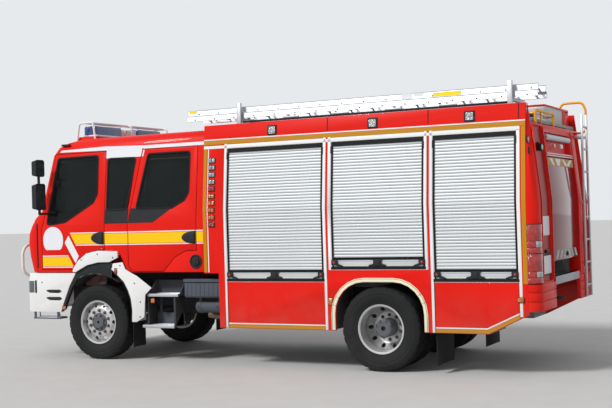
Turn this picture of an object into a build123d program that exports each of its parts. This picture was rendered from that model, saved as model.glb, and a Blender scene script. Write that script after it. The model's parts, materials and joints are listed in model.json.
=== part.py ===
from build123d import *
from math import cos, pi, radians, sin
import os

# Crew-cab fire engine with a locker body, at its real size in millimetres.
# z is up from the ground, the truck faces -x and its left side is -y.
# Each x below is a station: the distance back from the front axle.

# Whole truck
WHEELBASE = 4260
FRONT_OVERHANG = 1425
REAR_OVERHANG = 2005
NOSE = -FRONT_OVERHANG
REAR_X = WHEELBASE + REAR_OVERHANG
X_MID = (NOSE + REAR_X) / 2
LEAN = 0.0974  # inward lean of every upper wall, per unit of height
GAP = 8  # open joint round a door or flap

# Wheels and tyres, drawn with flat facets
FACETS = 32
HUB_FACETS = 16
TYRE_R = 510
TYRE_WIDTH = 295
TREAD_WIDTH = 236
SIDEWALL_R = 430
BEAD_R = 290
RIM_WIDTH = 240
RIM_WALL = 12
LIP_R = 300
FRONT_TYRE_Y = 1018
REAR_TYRE_Y = 1080
TWIN_SPACING = 335
DISC_WALL = 10
DISC_R = 190
DISC_OUT = 92
HUB_R = 75
HUB_OUT = 128
HAND_HOLES = 10
HAND_HOLE_R = 28
HAND_HOLE_CIRCLE_R = 232

# Axles and knuckles
KINGPIN_Y = 850
KINGPIN_R = 20
KINGPIN_PLAY = 0.4
BEAM_EYE_R = 48
BEAM_EYE_H = 120
BEAM_SHOULDER_Y = 620
EAR_H = 36
EAR_PLAY = 2
EAR_REACH = 65
KNUCKLE_WEB = 30
BEAM_W = 110
BEAM_H = 84
BEAM_DROP = 70
SPINDLE_R = 42
SPINDLE_PLAY = 0.4
AXLE_TUBE_R = 75
AXLE_END_R = 60
AXLE_END_FLAT = AXLE_END_R * cos(pi / HUB_FACETS)
AXLE_TUBE_END = 580
AXLE_HALF = 1098
DIFF_R = 190
DRUM_R = 205

# Chassis
RAIL_FRONT = NOSE + 425
RAIL_REAR = WHEELBASE + 1640
RAIL_Y = 425
RAIL_LOW = 690
RAIL_TOP = 956
RAIL_FLANGE = 80
RAIL_WALL = 8
CROSS_STATIONS = (-760, 1700, 2650, WHEELBASE - 700, WHEELBASE + 700, RAIL_REAR - 60)
CROSS_W = 60
CROSS_Z = (RAIL_LOW + 100, RAIL_TOP - 26)
SPRING_W = 80
SPRING_LEAF = 20
FRONT_SPRING_HALF = 780
REAR_SPRING_HALF = 720
SPRING_EYE = 25
ENGINE_X = (-480, 680)
ENGINE_HALF_W = 300
ENGINE_Z = (600, 1400)
ENGINE_MOUNT = 100
GEARBOX_X = 1500
GEARBOX_HALF_W = 200
GEARBOX_Z = (560, 900)
PROPSHAFT_R = 50
SHAFT_END_GAP = 6

# Cab: sections of its shell, from the floor up
CAB_REAR = 1790
CAB_FLOOR = 1200
CAB_ROOF = 3063
CAB_BEND = 1850
CAB_HALF = 1200
CAB_WALL = 50
ROOF_WALL = 80
PANEL_SPLIT_X = NOSE + 440
PANEL_TOP = CAB_BEND + 100
# height, front of the side wall and of the middle behind the nose, corner radius, roof's draw-in
CAB_SECTIONS = (
    (CAB_FLOOR, 295, 235, 130, 0),
    (1420, 235, 155, 130, 0),
    (1620, 210, 115, 130, 0),
    (1740, 220, 125, 130, 0),
    (CAB_BEND, 270, 170, 130, 0),
    (PANEL_TOP + 10, 340, 230, 120, 0),
    (PANEL_TOP + 110, 457, 335, 110, 0),
    (CAB_ROOF - 224, 655, 565, 80, 0),
    (CAB_ROOF - 113, 735, 645, 95, 12),
    (CAB_ROOF - 53, 865, 775, 110, 35),
    (CAB_ROOF - 18, 1025, 935, 130, 80),
    (CAB_ROOF, 1225, 1125, 160, 160),
)
FRONT_CUTS = 3  # flat panels in each half of the curved front
GLASS = 10
SCREEN_HALF = 1000
SCREEN_Z = (PANEL_TOP + 125, CAB_ROOF - 273)
TUNNEL_X = (-640, 830)
TUNNEL_HALF = 390
TUNNEL_TOP = 1480
WELL_INNER_Y = 620
WELL_WALL = 40
CAB_MOUNT_STATIONS = (-930, 1640)
CAB_MOUNT = 100
PLATFORM_X = (-480, -150)
PLATFORM_HALF = 880
PLATFORM_TOP = CAB_ROOF + 35
ROOF_HOOP_TOP = CAB_ROOF + 227

# Doors
DOOR_SKIN = 8
DOOR_LIP = 28
FRONT_DOOR_X = (NOSE + 520, 188)
CREW_DOOR_X = (585, 1676)
DOOR_TOP = CAB_ROOF - 213
WINDOW_CORNER = 40

# Front bumper
BUMPER_FRONT = NOSE + 125
BUMPER_HALF = 1195
BUMPER_WALL = 50
BUMPER_Z = (645, 1190)
BUMPER_STEP_X = NOSE + 265
BUMPER_STEP_Z = 1095
LAMP_Z = (905, 1085)
LAMP_Y = (690, 1050)
LAMP_DEPTH = 60

# Locker body
BODY_FRONT = CAB_REAR + 25
BODY_REAR = WHEELBASE + 1960
BODY_SIDE_REAR = BODY_REAR - 130
BODY_HALF = 1250
BODY_BEND = 2000
BODY_TOP = 3100
BODY_LOW = 487
BODY_WALL = 40
BODY_CORNER_R = 110
SKIRT_FRONT = BODY_FRONT + 220
SKIRT_TOP = 1185
TAIL_KINK_X = WHEELBASE + 1357
TAIL_LOW = 712
ROOF_DECK = BODY_TOP - 160
ROOF_T = 40
FLOOR_LOW = 1040
FLOOR_T = 40
FLOOR_TOP = FLOOR_LOW + FLOOR_T
INNER_Y = BODY_HALF - BODY_WALL
LOCKER_INNER_Y = 610
ARCH_X = (WHEELBASE - 573, WHEELBASE + 580)
ARCH_TOP = 1078
ARCH_CORNER_R = 385
ARCH_CEILING = ARCH_TOP + 72
ARCH_TRIM = 50
ARCH_TRIM_T = 12
TRIM_FOOT = 8
# shutter: front, rear, bottom, top
SHUTTER_TOP = BODY_TOP - 315
SHUTTERS = (
    (SKIRT_FRONT + 139, ARCH_X[0] - 142, FLOOR_TOP + 15, SHUTTER_TOP),
    (ARCH_X[0] - 27, ARCH_X[1] + 27, ARCH_TOP + 164, SHUTTER_TOP),
    (ARCH_X[1] + 139, BODY_SIDE_REAR - 112, FLOOR_TOP + 15, SHUTTER_TOP),
)
SHUTTER_FRAME = 40
SHUTTER_SILL = 20
SHUTTER_HEAD = 54
SHUTTER_DEPTH = 10
SHUTTER_T = 16
SLAT = 37
SLAT_STEP = 3
LOCK_RAIL_H = 130
LOCK_RIB = 14
BAY_HALF = 680
BAY_FRONT = BODY_REAR - 1220
BAY_WALL = 40
FLAP_HALF = 632
FLAP_Z = (1280, 2500)
FLAP_HINGE_Z = FLAP_Z[1]
TAIL_FOOT = 747
BUMPER_TOP = 1050
BUMPER_INNER = 590
BUMPER_PROUD = 12
BUMPER_GROOVE = 12
LADDER_SLOT_Y = (860, 1080)
LOCKER_SHEET = 30
LADDER_RAIL = 30
POCKET_HALF = 590
POCKET_Z = (2560, 2790)
NOTCH_HALF = 1090
NOTCH_LOW = ROOF_DECK - 60

# Tubes outside the body
GUARD_R = 22
GUARD_X = NOSE + GUARD_R
GUARD_HALF = 1045
GUARD_Z = (1140, 1585)
HOOP_R = 15
GRAB_R = 16
ARC_MIDDLE = 0.293  # how far an arc's middle stands from its corner, per radius of both legs


def side(y=0):
    """Side view at y, drawn as station and height, facing the truck's left."""
    return Plane(origin=(-X_MID, y, 0), x_dir=(1, 0, 0), z_dir=(0, -1, 0))


def across(x):
    """Cross section at station x, drawn as y and height, facing the rear."""
    return Plane(origin=(x - X_MID, 0, 0), x_dir=(0, 1, 0), z_dir=(1, 0, 0))


def level(z):
    """Plan at height z, drawn as station and y."""
    return Plane(origin=(-X_MID, 0, z), x_dir=(1, 0, 0), z_dir=(0, 0, 1))


def at(x, y, z):
    """Model point for a station, y and height."""
    return (x - X_MID, y, z)


def block(x, y, z, mode=Mode.ADD):
    """Box between two stations, two y values and two heights."""
    with Locations(at((x[0] + x[1]) / 2, (y[0] + y[1]) / 2, (z[0] + z[1]) / 2)):
        Box(x[1] - x[0], y[1] - y[0], z[1] - z[0], mode=mode)


def handed(hand, a, b):
    """Two y values on one side of the truck, lower first."""
    return sorted((hand * a, hand * b))


def rod(x, y, z, radius, length, axis=Axis.Z, mode=Mode.ADD):
    """Round bar centred on a station, y and height."""
    turn = {Axis.X: (0, 90, 0), Axis.Y: (90, 0, 0), Axis.Z: (0, 0, 0)}[axis]
    with Locations(Location(at(x, y, z), turn)):
        Cylinder(radius, length, mode=mode)


def turned(x, y, z, hand, rows, sides=FACETS, axis=Axis.Y, mode=Mode.ADD):
    """Faceted round piece about an axis, from rows of offset outboard and radius to the flats."""
    rings = []
    along = axis.direction * hand
    for out, radius in rows:
        place = Vector(*at(x, y, z)) + along * out
        with BuildSketch(Plane(origin=place, x_dir=(0, 0, 1), z_dir=along)) as ring:
            RegularPolygon(radius, sides, major_radius=False, rotation=180 / sides)
        rings.append(ring.sketch.face())
    loft(rings, ruled=True, mode=mode)


def pipe(points, radius, bend, sides=8):
    """Faceted bar along model points, with each corner turned in three cuts."""
    bent = [Vector(*points[0])]
    for before, corner, after in zip(points, points[1:], points[2:]):
        corner = Vector(*corner)
        back = (Vector(*before) - corner).normalized() * bend
        onward = (Vector(*after) - corner).normalized() * bend
        bent += [corner + back, corner + (back + onward) * ARC_MIDDLE, corner + onward]
    bent.append(Vector(*points[-1]))
    with BuildLine() as path:
        Polyline(*bent)
    with BuildSketch(Plane(origin=path.line @ 0, z_dir=path.line % 0)) as section:
        RegularPolygon(radius, sides)
    sweep(section.sketch, path=path.line, transition=Transition.RIGHT)


def outline(points, corner=0):
    """Closed outline with its corners rounded."""
    with BuildLine() as edge:
        Polyline(*points, close=True)
    made = make_face(edge.edges())
    if corner:
        fillet(made.vertices(), corner)


def quarter(x, y, radius, turn):
    """Points of a rounded plan corner in three cuts, from its rear or front end to its side."""
    angles = [radians(a) for a in (0, 30, 60, 90)]
    return [(x + radius * (1 - cos(a)) * turn, y - radius * (1 - sin(a))) for a in angles]


def skin_y(half, bend, z):
    """y of the left outer wall at a height."""
    return -(half - LEAN * max(z - bend, 0))


def wall(half, bend, z, depth, thick, x):
    """Left wall between two heights and two stations, some depth in from its outer skin."""
    heights = [z[0]] + ([bend] if z[0] < bend < z[1] else []) + [z[1]]
    outer = [(skin_y(half, bend, h) + depth, h) for h in heights]
    inner = [(y + thick, h) for y, h in reversed(outer)]
    with BuildSketch(across(x[0])) as section:
        outline(outer + inner)
    extrude(section.sketch, amount=x[1] - x[0])


def cab_wall(z, depth, thick, x):
    wall(CAB_HALF, CAB_BEND, z, depth, thick, x)


def body_wall(z, depth, thick, x):
    wall(BODY_HALF, BODY_BEND, z, depth, thick, x)


def slab(points, y, corner=0, mode=Mode.ADD):
    """Outline in side view made solid through a range of y."""
    with BuildSketch(side(y[1])) as shape:
        outline(points, corner)
    extrude(shape.sketch, amount=y[1] - y[0], mode=mode)


def drill(points, y, corner=0):
    """Cuts an outline in side view through a range of y."""
    slab(points, y, corner, Mode.SUBTRACT)


def rectangle(x, z):
    return ((x[0], z[0]), (x[1], z[0]), (x[1], z[1]), (x[0], z[1]))


def save(piece, name):
    piece.part.label = name
    export_step(piece.part, f"parts/{name}.step")


LEFT = (-BODY_HALF - 50, 0)
BOTH = (-BODY_HALF - 50, BODY_HALF + 50)
os.makedirs("parts", exist_ok=True)

# Frame: two channel rails and the members between them
web = RAIL_Y - RAIL_WALL
flange = RAIL_Y - RAIL_FLANGE
with BuildPart() as frame_rails:
    with BuildSketch(across(RAIL_FRONT)):
        outline(
            (
                (-RAIL_Y, RAIL_LOW),
                (-flange, RAIL_LOW),
                (-flange, RAIL_LOW + RAIL_WALL),
                (-web, RAIL_LOW + RAIL_WALL),
                (-web, RAIL_TOP - RAIL_WALL),
                (-flange, RAIL_TOP - RAIL_WALL),
                (-flange, RAIL_TOP),
                (-RAIL_Y, RAIL_TOP),
            )
        )
    extrude(amount=RAIL_REAR - RAIL_FRONT)
    mirror(about=Plane.XZ)
    for station in CROSS_STATIONS:
        block((station, station + CROSS_W), (-web, web), CROSS_Z)
    # mounts that carry the cab floor
    for station in CAB_MOUNT_STATIONS:
        for hand in (-1, 1):
            y = handed(hand, flange, RAIL_Y)
            block((station, station + CAB_MOUNT), y, (RAIL_TOP, CAB_FLOOR))
save(frame_rails, "frame_rails")

# Engine and gearbox as plain blocks, with the propeller shaft to the rear axle
with BuildPart() as powertrain:
    block(ENGINE_X, (-ENGINE_HALF_W, ENGINE_HALF_W), ENGINE_Z)
    chamfer(powertrain.edges().filter_by(Axis.X), 60)
    block((ENGINE_X[1], GEARBOX_X), (-GEARBOX_HALF_W, GEARBOX_HALF_W), GEARBOX_Z)
    for station in (ENGINE_X[0] + ENGINE_MOUNT, ENGINE_X[1] - 2 * ENGINE_MOUNT):
        block((station, station + ENGINE_MOUNT), (-web, web), (RAIL_LOW + 90, RAIL_LOW + 150))
    shaft_start = Vector(*at(GEARBOX_X, 0, RAIL_LOW + 30))
    shaft_end = Vector(*at(WHEELBASE - DIFF_R, 0, TYRE_R))
    with BuildSketch(Plane(origin=shaft_start, z_dir=shaft_end - shaft_start)):
        RegularPolygon(PROPSHAFT_R, HUB_FACETS)
    extrude(amount=(shaft_end - shaft_start).length - SHAFT_END_GAP)
save(powertrain, "powertrain")

# Front axle: forged beam, dropped in the middle, with an eye for each kingpin.
# Rear axle: tube with a bulged differential, spring seats and brake drums.
beam_low = TYRE_R - BEAM_DROP - BEAM_H / 2
eye_low, eye_top = TYRE_R - BEAM_EYE_H / 2, TYRE_R + BEAM_EYE_H / 2
eye_y = KINGPIN_Y - 60
half_beam = (
    (0, beam_low),
    (-BEAM_SHOULDER_Y, beam_low),
    (-eye_y, eye_low),
    (-KINGPIN_Y, eye_low),
    (-KINGPIN_Y, eye_top),
    (-eye_y, eye_top),
    (-BEAM_SHOULDER_Y, beam_low + BEAM_H),
    (0, beam_low + BEAM_H),
)
spring_y = (RAIL_Y - SPRING_W, RAIL_Y)
with BuildPart() as axles:
    with BuildSketch(across(-BEAM_W / 2)):
        outline(half_beam)
        mirror(about=Plane.YZ)
    extrude(amount=BEAM_W)
    for y in (-KINGPIN_Y, KINGPIN_Y):
        room = (y - 70, y + 70)
        block((-70, 70), room, (TYRE_R - BEAM_EYE_H, TYRE_R + BEAM_EYE_H), Mode.SUBTRACT)
        rod(0, y * (1 - 26 / KINGPIN_Y), TYRE_R, BEAM_EYE_R, BEAM_EYE_H)
        rod(0, y, TYRE_R, BEAM_EYE_R, BEAM_EYE_H)
        rod(0, y, TYRE_R, KINGPIN_R + KINGPIN_PLAY, BEAM_EYE_H + 2, mode=Mode.SUBTRACT)
    for hand in (-1, 1):
        for rows in (
            ((0, AXLE_TUBE_R), (AXLE_TUBE_END, AXLE_TUBE_R)),
            ((0, AXLE_END_FLAT), (AXLE_HALF, AXLE_END_FLAT)),
            ((0, DIFF_R), (90, DIFF_R - 10), (150, AXLE_TUBE_R)),
        ):
            turned(WHEELBASE, 0, TYRE_R, hand, rows, HUB_FACETS)
        seat = handed(hand, *spring_y)
        block((WHEELBASE - 60, WHEELBASE + 60), seat, (TYRE_R, TYRE_R + AXLE_TUBE_R))
save(axles, "axles")

# Steering knuckles: ears above and below the beam's eye, kingpin, brake plate and spindle
ear_z = BEAM_EYE_H / 2 + EAR_PLAY
web_y = KINGPIN_Y + EAR_REACH
spindle_y = (web_y + KNUCKLE_WEB, FRONT_TYRE_Y + 35)
for hand, name in ((-1, "knuckle_left"), (1, "knuckle_right")):
    with BuildPart() as knuckle:
        for ear in (TYRE_R + ear_z, TYRE_R - ear_z - EAR_H):
            rod(0, hand * KINGPIN_Y, ear + EAR_H / 2, BEAM_EYE_R, EAR_H)
            block((-BEAM_EYE_R, BEAM_EYE_R), handed(hand, KINGPIN_Y, web_y), (ear, ear + EAR_H))
        rod(0, hand * KINGPIN_Y, TYRE_R, KINGPIN_R, 2 * (ear_z + EAR_H))
        web_z = (TYRE_R - ear_z - EAR_H, TYRE_R + ear_z + EAR_H)
        block((-70, 70), handed(hand, web_y, spindle_y[0]), web_z)
        spindle_mid = hand * (spindle_y[0] + spindle_y[1]) / 2
        rod(0, spindle_mid, TYRE_R, SPINDLE_R, spindle_y[1] - spindle_y[0], Axis.Y)
        turned(0, hand * spindle_y[0], TYRE_R, hand, ((0, DRUM_R), (10, DRUM_R)), HUB_FACETS)
    save(knuckle, name)

# Leaf springs between the axles and the rails: fewer leaves towards the eyes
with BuildPart() as leaf_springs:
    # middle station, half length, height of the seat
    for middle, half, seat in (
        (0, FRONT_SPRING_HALF, beam_low + BEAM_H),
        (WHEELBASE, REAR_SPRING_HALF, TYRE_R + AXLE_TUBE_R),
    ):
        crown = seat + 3 * SPRING_LEAF
        rise = RAIL_LOW - SPRING_EYE - crown
        top = [(middle + half * share, crown + rise * share * share) for share in (-1, -0.5, 0, 0.5, 1)]
        # share of the half length, leaves there
        steps = ((1, 1), (0.75, 1), (0.75, 2), (0.45, 2), (0.45, 3), (0.2, 3))
        under = [(half * share, crown + rise * share**2 - leaves * SPRING_LEAF) for share, leaves in steps]
        under.append((half * 0.12, seat))
        right = [(middle + x, z) for x, z in under]
        left = [(middle - x, z) for x, z in reversed(under)]
        with BuildSketch(side(-spring_y[0])):
            outline(top + right + left)
            for end in (middle - half, middle + half):
                with Locations((end, RAIL_LOW - SPRING_EYE)):
                    Rectangle(70, 2 * SPRING_EYE)
        extrude(amount=SPRING_W)
    mirror(about=Plane.XZ)
save(leaf_springs, "leaf_springs")

# Tyres: rounded sidewalls under a flat tread
bead = RIM_WIDTH / 2 - 6
half_tyre = (
    (bead, BEAD_R),
    (TYRE_WIDTH / 2 - 3, (BEAD_R + SIDEWALL_R) / 2 + 10),
    (TYRE_WIDTH / 2, SIDEWALL_R),
    (TREAD_WIDTH / 2, TYRE_R),
)
TYRE_ROWS = tuple((-out, r) for out, r in half_tyre) + half_tyre[::-1]


def ring(x, y, hand, rows, bore, bore_half):
    """Faceted ring about a wheel's axle."""
    turned(x, hand * y, TYRE_R, hand, rows)
    turned(x, hand * y, TYRE_R, hand, ((-bore_half, bore), (bore_half, bore)), mode=Mode.SUBTRACT)


# Rims: an outer barrel with its lip, a dished disc with hand holes, and a hub
BARREL = ((-RIM_WIDTH / 2, BEAD_R), (bead, BEAD_R), (RIM_WIDTH / 2, LIP_R), (RIM_WIDTH / 2 + 6, LIP_R))
DISC_EDGE_R = BEAD_R - RIM_WALL + 4


def hand_holes(x, y, hand, out, depth):
    plane = Plane(origin=at(x, hand * (y + out), TYRE_R), x_dir=(1, 0, 0), z_dir=(0, -hand, 0))
    with BuildSketch(plane) as holes:
        with PolarLocations(HAND_HOLE_CIRCLE_R, HAND_HOLES):
            RegularPolygon(HAND_HOLE_R, 8)
    extrude(holes.sketch, amount=depth, mode=Mode.SUBTRACT)


for hand, side_name in ((-1, "left"), (1, "right")):
    with BuildPart() as tyre:
        ring(0, FRONT_TYRE_Y, hand, TYRE_ROWS, BEAD_R, TYRE_WIDTH)
    save(tyre, f"tyre_front_{side_name}")
    with BuildPart() as twins:
        for y in (REAR_TYRE_Y, REAR_TYRE_Y - TWIN_SPACING):
            ring(WHEELBASE, y, hand, TYRE_ROWS, BEAD_R, TYRE_WIDTH / 2 + 5)
    save(twins, f"tyres_rear_{side_name}")

    middle = hand * FRONT_TYRE_Y
    with BuildPart() as wheel:
        ring(0, FRONT_TYRE_Y, hand, BARREL, BEAD_R - RIM_WALL, RIM_WIDTH)
        dome = ((12, DISC_EDGE_R), (36, DISC_EDGE_R), (DISC_OUT, DISC_R))
        inside = tuple((out - DISC_WALL, r - DISC_WALL - 6) for out, r in dome)
        turned(0, middle, TYRE_R, hand, dome)
        turned(0, middle, TYRE_R, hand, inside, mode=Mode.SUBTRACT)
        turned(0, middle, TYRE_R, hand, ((-20, HUB_R + 25), (DISC_OUT, HUB_R + 25)), HUB_FACETS)
        cap = ((DISC_OUT, HUB_R), (HUB_OUT - 8, HUB_R), (HUB_OUT, HUB_R - 12))
        turned(0, middle, TYRE_R, hand, cap, HUB_FACETS)
        bore = ((-21, SPINDLE_R + SPINDLE_PLAY), (40, SPINDLE_R + SPINDLE_PLAY))
        turned(0, middle, TYRE_R, hand, bore, HUB_FACETS, mode=Mode.SUBTRACT)
        hand_holes(0, FRONT_TYRE_Y, hand, HUB_OUT, HUB_OUT)
    save(wheel, f"wheel_front_{side_name}")

    # twin rims bolted back to back, with the hub standing out of the outer one
    middle = hand * REAR_TYRE_Y
    meet = -TWIN_SPACING / 2
    with BuildPart() as wheels:
        inner_barrel = [(-out, r) for out, r in reversed(BARREL)]
        for y, rows in ((REAR_TYRE_Y, BARREL), (REAR_TYRE_Y - TWIN_SPACING, inner_barrel)):
            ring(WHEELBASE, y, hand, rows, BEAD_R - RIM_WALL, RIM_WIDTH / 2 + 7)
        for way in (-1, 1):
            dish = [(meet + way * out, r) for out, r in ((0, DISC_R), (68, DISC_EDGE_R), (84, DISC_EDGE_R))]
            hollow = [(out + way * DISC_WALL, r - DISC_WALL - 6) for out, r in dish]
            turned(WHEELBASE, middle, TYRE_R, hand, dish)
            turned(WHEELBASE, middle, TYRE_R, hand, hollow, mode=Mode.SUBTRACT)
        hand_holes(WHEELBASE, REAR_TYRE_Y, hand, meet + 100, 200)
        hub = ((meet - DISC_WALL - 15, HUB_R + 40), (42, HUB_R + 30), (55, HUB_R + 15))
        turned(WHEELBASE, middle, TYRE_R, hand, hub, HUB_FACETS)
        bore = ((meet - DISC_WALL - 16, AXLE_END_R + SPINDLE_PLAY), (30, AXLE_END_R + SPINDLE_PLAY))
        turned(WHEELBASE, middle, TYRE_R, hand, bore, HUB_FACETS, mode=Mode.SUBTRACT)
    save(wheels, f"wheels_rear_{side_name}")

# Front bumper: a white steel shell whose sides run back to the wheel arch, with two footholds in each
arch_lip = ((-600, 640), (-551, 774), (-443, 1009), (-330, 1185))
with BuildPart() as front_bumper:
    with BuildSketch(level(BUMPER_Z[0])):
        corner = quarter(BUMPER_FRONT + 60, BUMPER_HALF, 130, 1)
        bow_x = BUMPER_FRONT + 60
        nose_edge = [(bow_x, -700), (BUMPER_FRONT, -250), (BUMPER_FRONT, 250), (bow_x, 700)]
        right = nose_edge[-1:] + corner + [(arch_lip[-1][0], BUMPER_HALF)]
        outline([(x, -y) for x, y in reversed(right)] + nose_edge[1:-1] + right)
    extrude(amount=BUMPER_Z[1] - BUMPER_Z[0])
    inner = BUMPER_HALF - BUMPER_WALL
    well = (BUMPER_FRONT + 170, arch_lip[-1][0] + 1)
    block(well, (-inner, inner), (BUMPER_Z[0] - 1, BUMPER_Z[1] + 1), Mode.SUBTRACT)
    drill(arch_lip + ((0, 1200), (0, 640)), BOTH)
    # the upper front is set back under the cab
    block((NOSE, BUMPER_STEP_X), BOTH, (BUMPER_STEP_Z, BUMPER_Z[1] + 1), Mode.SUBTRACT)
    for hand in (-1, 1):
        block((NOSE, BUMPER_FRONT + 135), handed(hand, *LAMP_Y), LAMP_Z, Mode.SUBTRACT)
        for z in (930, 828):
            upper = ((-570, z), (-620, z + 30), (-800, z + 24), (-850, z))
            drill(upper + ((-800, z - 18), (-620, z - 22)), handed(hand, BUMPER_HALF - 25, BUMPER_HALF + 1))
        # joint behind the corner, and the bracket to the rail
        joint = ((BUMPER_FRONT + 80, BUMPER_FRONT + 92), handed(hand, LAMP_Y[1] + 20, BUMPER_HALF + 1))
        block(*joint, (BUMPER_Z[0] - 1, LAMP_Z[0] - 20), Mode.SUBTRACT)
        block((BUMPER_FRONT + 170, RAIL_FRONT), handed(hand, flange, RAIL_Y), (RAIL_LOW, RAIL_TOP))
save(front_bumper, "front_bumper")

with BuildPart() as headlamps:
    front = BUMPER_FRONT + 135 - LAMP_DEPTH
    block((front, front + LAMP_DEPTH), (-LAMP_Y[1], -LAMP_Y[0]), LAMP_Z)
    chamfer(headlamps.faces().sort_by(Axis.X)[0].edges(), 15)
    mirror(about=Plane.XZ)
save(headlamps, "headlamps")

# Steps: two under each crew door, with a lip, a riser and an end plate, and one under the bumper
with BuildPart() as cab_steps:
    # front and rear, outer y, height of the tread, top of the riser
    for x, y, tread, riser_top in (((860, 1350), -1170, 870, 1080), ((780, 1290), -1190, 455, 640)):
        block(x, (y, y + 260), (tread + 18, tread + 30))
        block(x, (y, y + 18), (tread, tread + 36))
        block(x, (y + 242, y + 260), (tread, riser_top))
        for end in (x[0], x[1] - 12):
            with BuildSketch(across(end)) as cheek:
                foot = ((y + 40, tread + 30), (y + 242, tread + 30))
                outline(foot + ((y + 242, riser_top), (y + 190, riser_top)))
            extrude(cheek.sketch, amount=12)
    for x in ((900, 940), (1190, 1230)):
        block(x, (-948, -930), (630, 850))
        block(x, (-948, -RAIL_Y), (830, 880))
    block((BUMPER_FRONT + 190, -640), (-1180, -1010), (545, 562))
    for x in ((BUMPER_FRONT + 200, BUMPER_FRONT + 230), (-690, -660)):
        block(x, (-1178, -1160), (562, BUMPER_Z[0]))
    mirror(about=Plane.XZ)
save(cab_steps, "cab_steps")

# Battery box with its lid, and the air tank in two straps, on brackets beside the rails
with BuildPart() as chassis_boxes:
    block((1440, SKIRT_FRONT - 20), (-1150, -600), (860, 1065))
    chamfer(chassis_boxes.edges().filter_by(Axis.X), 20)
    block((1430, SKIRT_FRONT - 12), (-1160, -600), (1065, 1105))
    turned(1765, -1010, 735, 1, ((-210, 60), (-195, 78), (195, 78), (210, 60)), HUB_FACETS, Axis.X)
    for station in (1600, 1890):
        block((station, station + 40), (-1050, -970), (790, 860))
        turned(station, -1010, 735, 1, ((0, 83), (40, 83)), HUB_FACETS, Axis.X)
    for station in (1460, 1950):
        block((station, station + 40), (-600, -RAIL_Y), (870, 930))
    mirror(about=Plane.XZ)
save(chassis_boxes, "chassis_boxes")

# Body floor, bulkheads, wheel boxes and pump bay, on an underframe
deck_low = ROOF_DECK - ROOF_T
with BuildPart() as body_inner:
    bulkhead = [(skin_y(BODY_HALF, BODY_BEND, z) + BODY_WALL, z) for z in (SKIRT_TOP, BODY_BEND, deck_low)]
    with BuildSketch(across(BODY_FRONT)):
        outline(bulkhead + [(-y, z) for y, z in reversed(bulkhead)])
    extrude(amount=BAY_WALL)
    block((BODY_FRONT, SKIRT_FRONT + BAY_WALL), (-INNER_Y, INNER_Y), (SKIRT_TOP, SKIRT_TOP + FLOOR_T))
    block((SKIRT_FRONT, SKIRT_FRONT + BAY_WALL), (-INNER_Y, INNER_Y), (FLOOR_LOW, SKIRT_TOP))
    rear = (BODY_SIDE_REAR - BAY_WALL, BODY_SIDE_REAR)
    block((SKIRT_FRONT, rear[0]), (-LOCKER_INNER_Y, LOCKER_INNER_Y), (FLOOR_LOW, FLOOR_TOP))
    # stations of the plates ahead of the rear wheels and behind them
    plates = ((ARCH_X[0] - 97, ARCH_X[0] - 57), (ARCH_X[1] + 50, ARCH_X[1] + 90))
    for hand in (-1, 1):
        block((SKIRT_FRONT, RAIL_REAR), handed(hand, flange, RAIL_Y), (RAIL_TOP, FLOOR_LOW))
        shelf = handed(hand, LOCKER_INNER_Y, INNER_Y)
        inner_plate = handed(hand, LOCKER_INNER_Y, LOCKER_INNER_Y + FLOOR_T)
        for x in ((SKIRT_FRONT, plates[0][1]), (plates[1][0], rear[0])):
            block(x, shelf, (FLOOR_LOW, FLOOR_TOP))
        for x in plates:
            block(x, shelf, (FLOOR_LOW, ARCH_CEILING))
        box_x = (plates[0][0], plates[1][1])
        block(box_x, shelf, (ARCH_CEILING, ARCH_CEILING + FLOOR_T))
        block(box_x, inner_plate, (FLOOR_LOW, ARCH_CEILING))
        # pump bay behind the rear flap
        block((BAY_FRONT, rear[0]), handed(hand, BAY_HALF, BAY_HALF + BAY_WALL), (FLOOR_TOP, deck_low))
        block(rear, handed(hand, BAY_HALF, NOTCH_HALF), (FLOOR_LOW, deck_low))
    bay_y = (-BAY_HALF - BAY_WALL, BAY_HALF + BAY_WALL)
    block((BAY_FRONT - BAY_WALL, BAY_FRONT), bay_y, (FLOOR_TOP, deck_low))
save(body_inner, "body_inner")

# Deep lockers that hang below the floor, ahead of the rear wheels and behind them
with BuildPart() as low_lockers:
    for x in ((SKIRT_FRONT + BAY_WALL, plates[0][1]), (plates[1][0], TAIL_KINK_X)):
        block(x, (-INNER_Y, -LOCKER_INNER_Y), (BODY_LOW, FLOOR_LOW))
        inside = (x[0] + LOCKER_SHEET, x[1] - LOCKER_SHEET)
        room = (-INNER_Y, -LOCKER_INNER_Y - LOCKER_SHEET)
        block(inside, room, (BODY_LOW + LOCKER_SHEET, FLOOR_LOW), Mode.SUBTRACT)
    mirror(about=Plane.XZ)
save(low_lockers, "low_lockers")


def arch(grow=0):
    """Round-cornered wheel arch in side view, grown by the width of its trim."""
    front, rear, top = ARCH_X[0] - grow, ARCH_X[1] + grow, ARCH_TOP + grow
    turn = ARCH_CORNER_R + grow
    angles = [radians(a) for a in range(0, 91, 15)]
    corner = [(turn * (1 - cos(a)), turn * (1 - sin(a))) for a in angles]
    left = [(front + x, top - z) for x, z in corner]
    right = [(rear - x, top - z) for x, z in reversed(corner)]
    return [(front, BODY_LOW - 1)] + left + right + [(rear, BODY_LOW - 1)]


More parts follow.
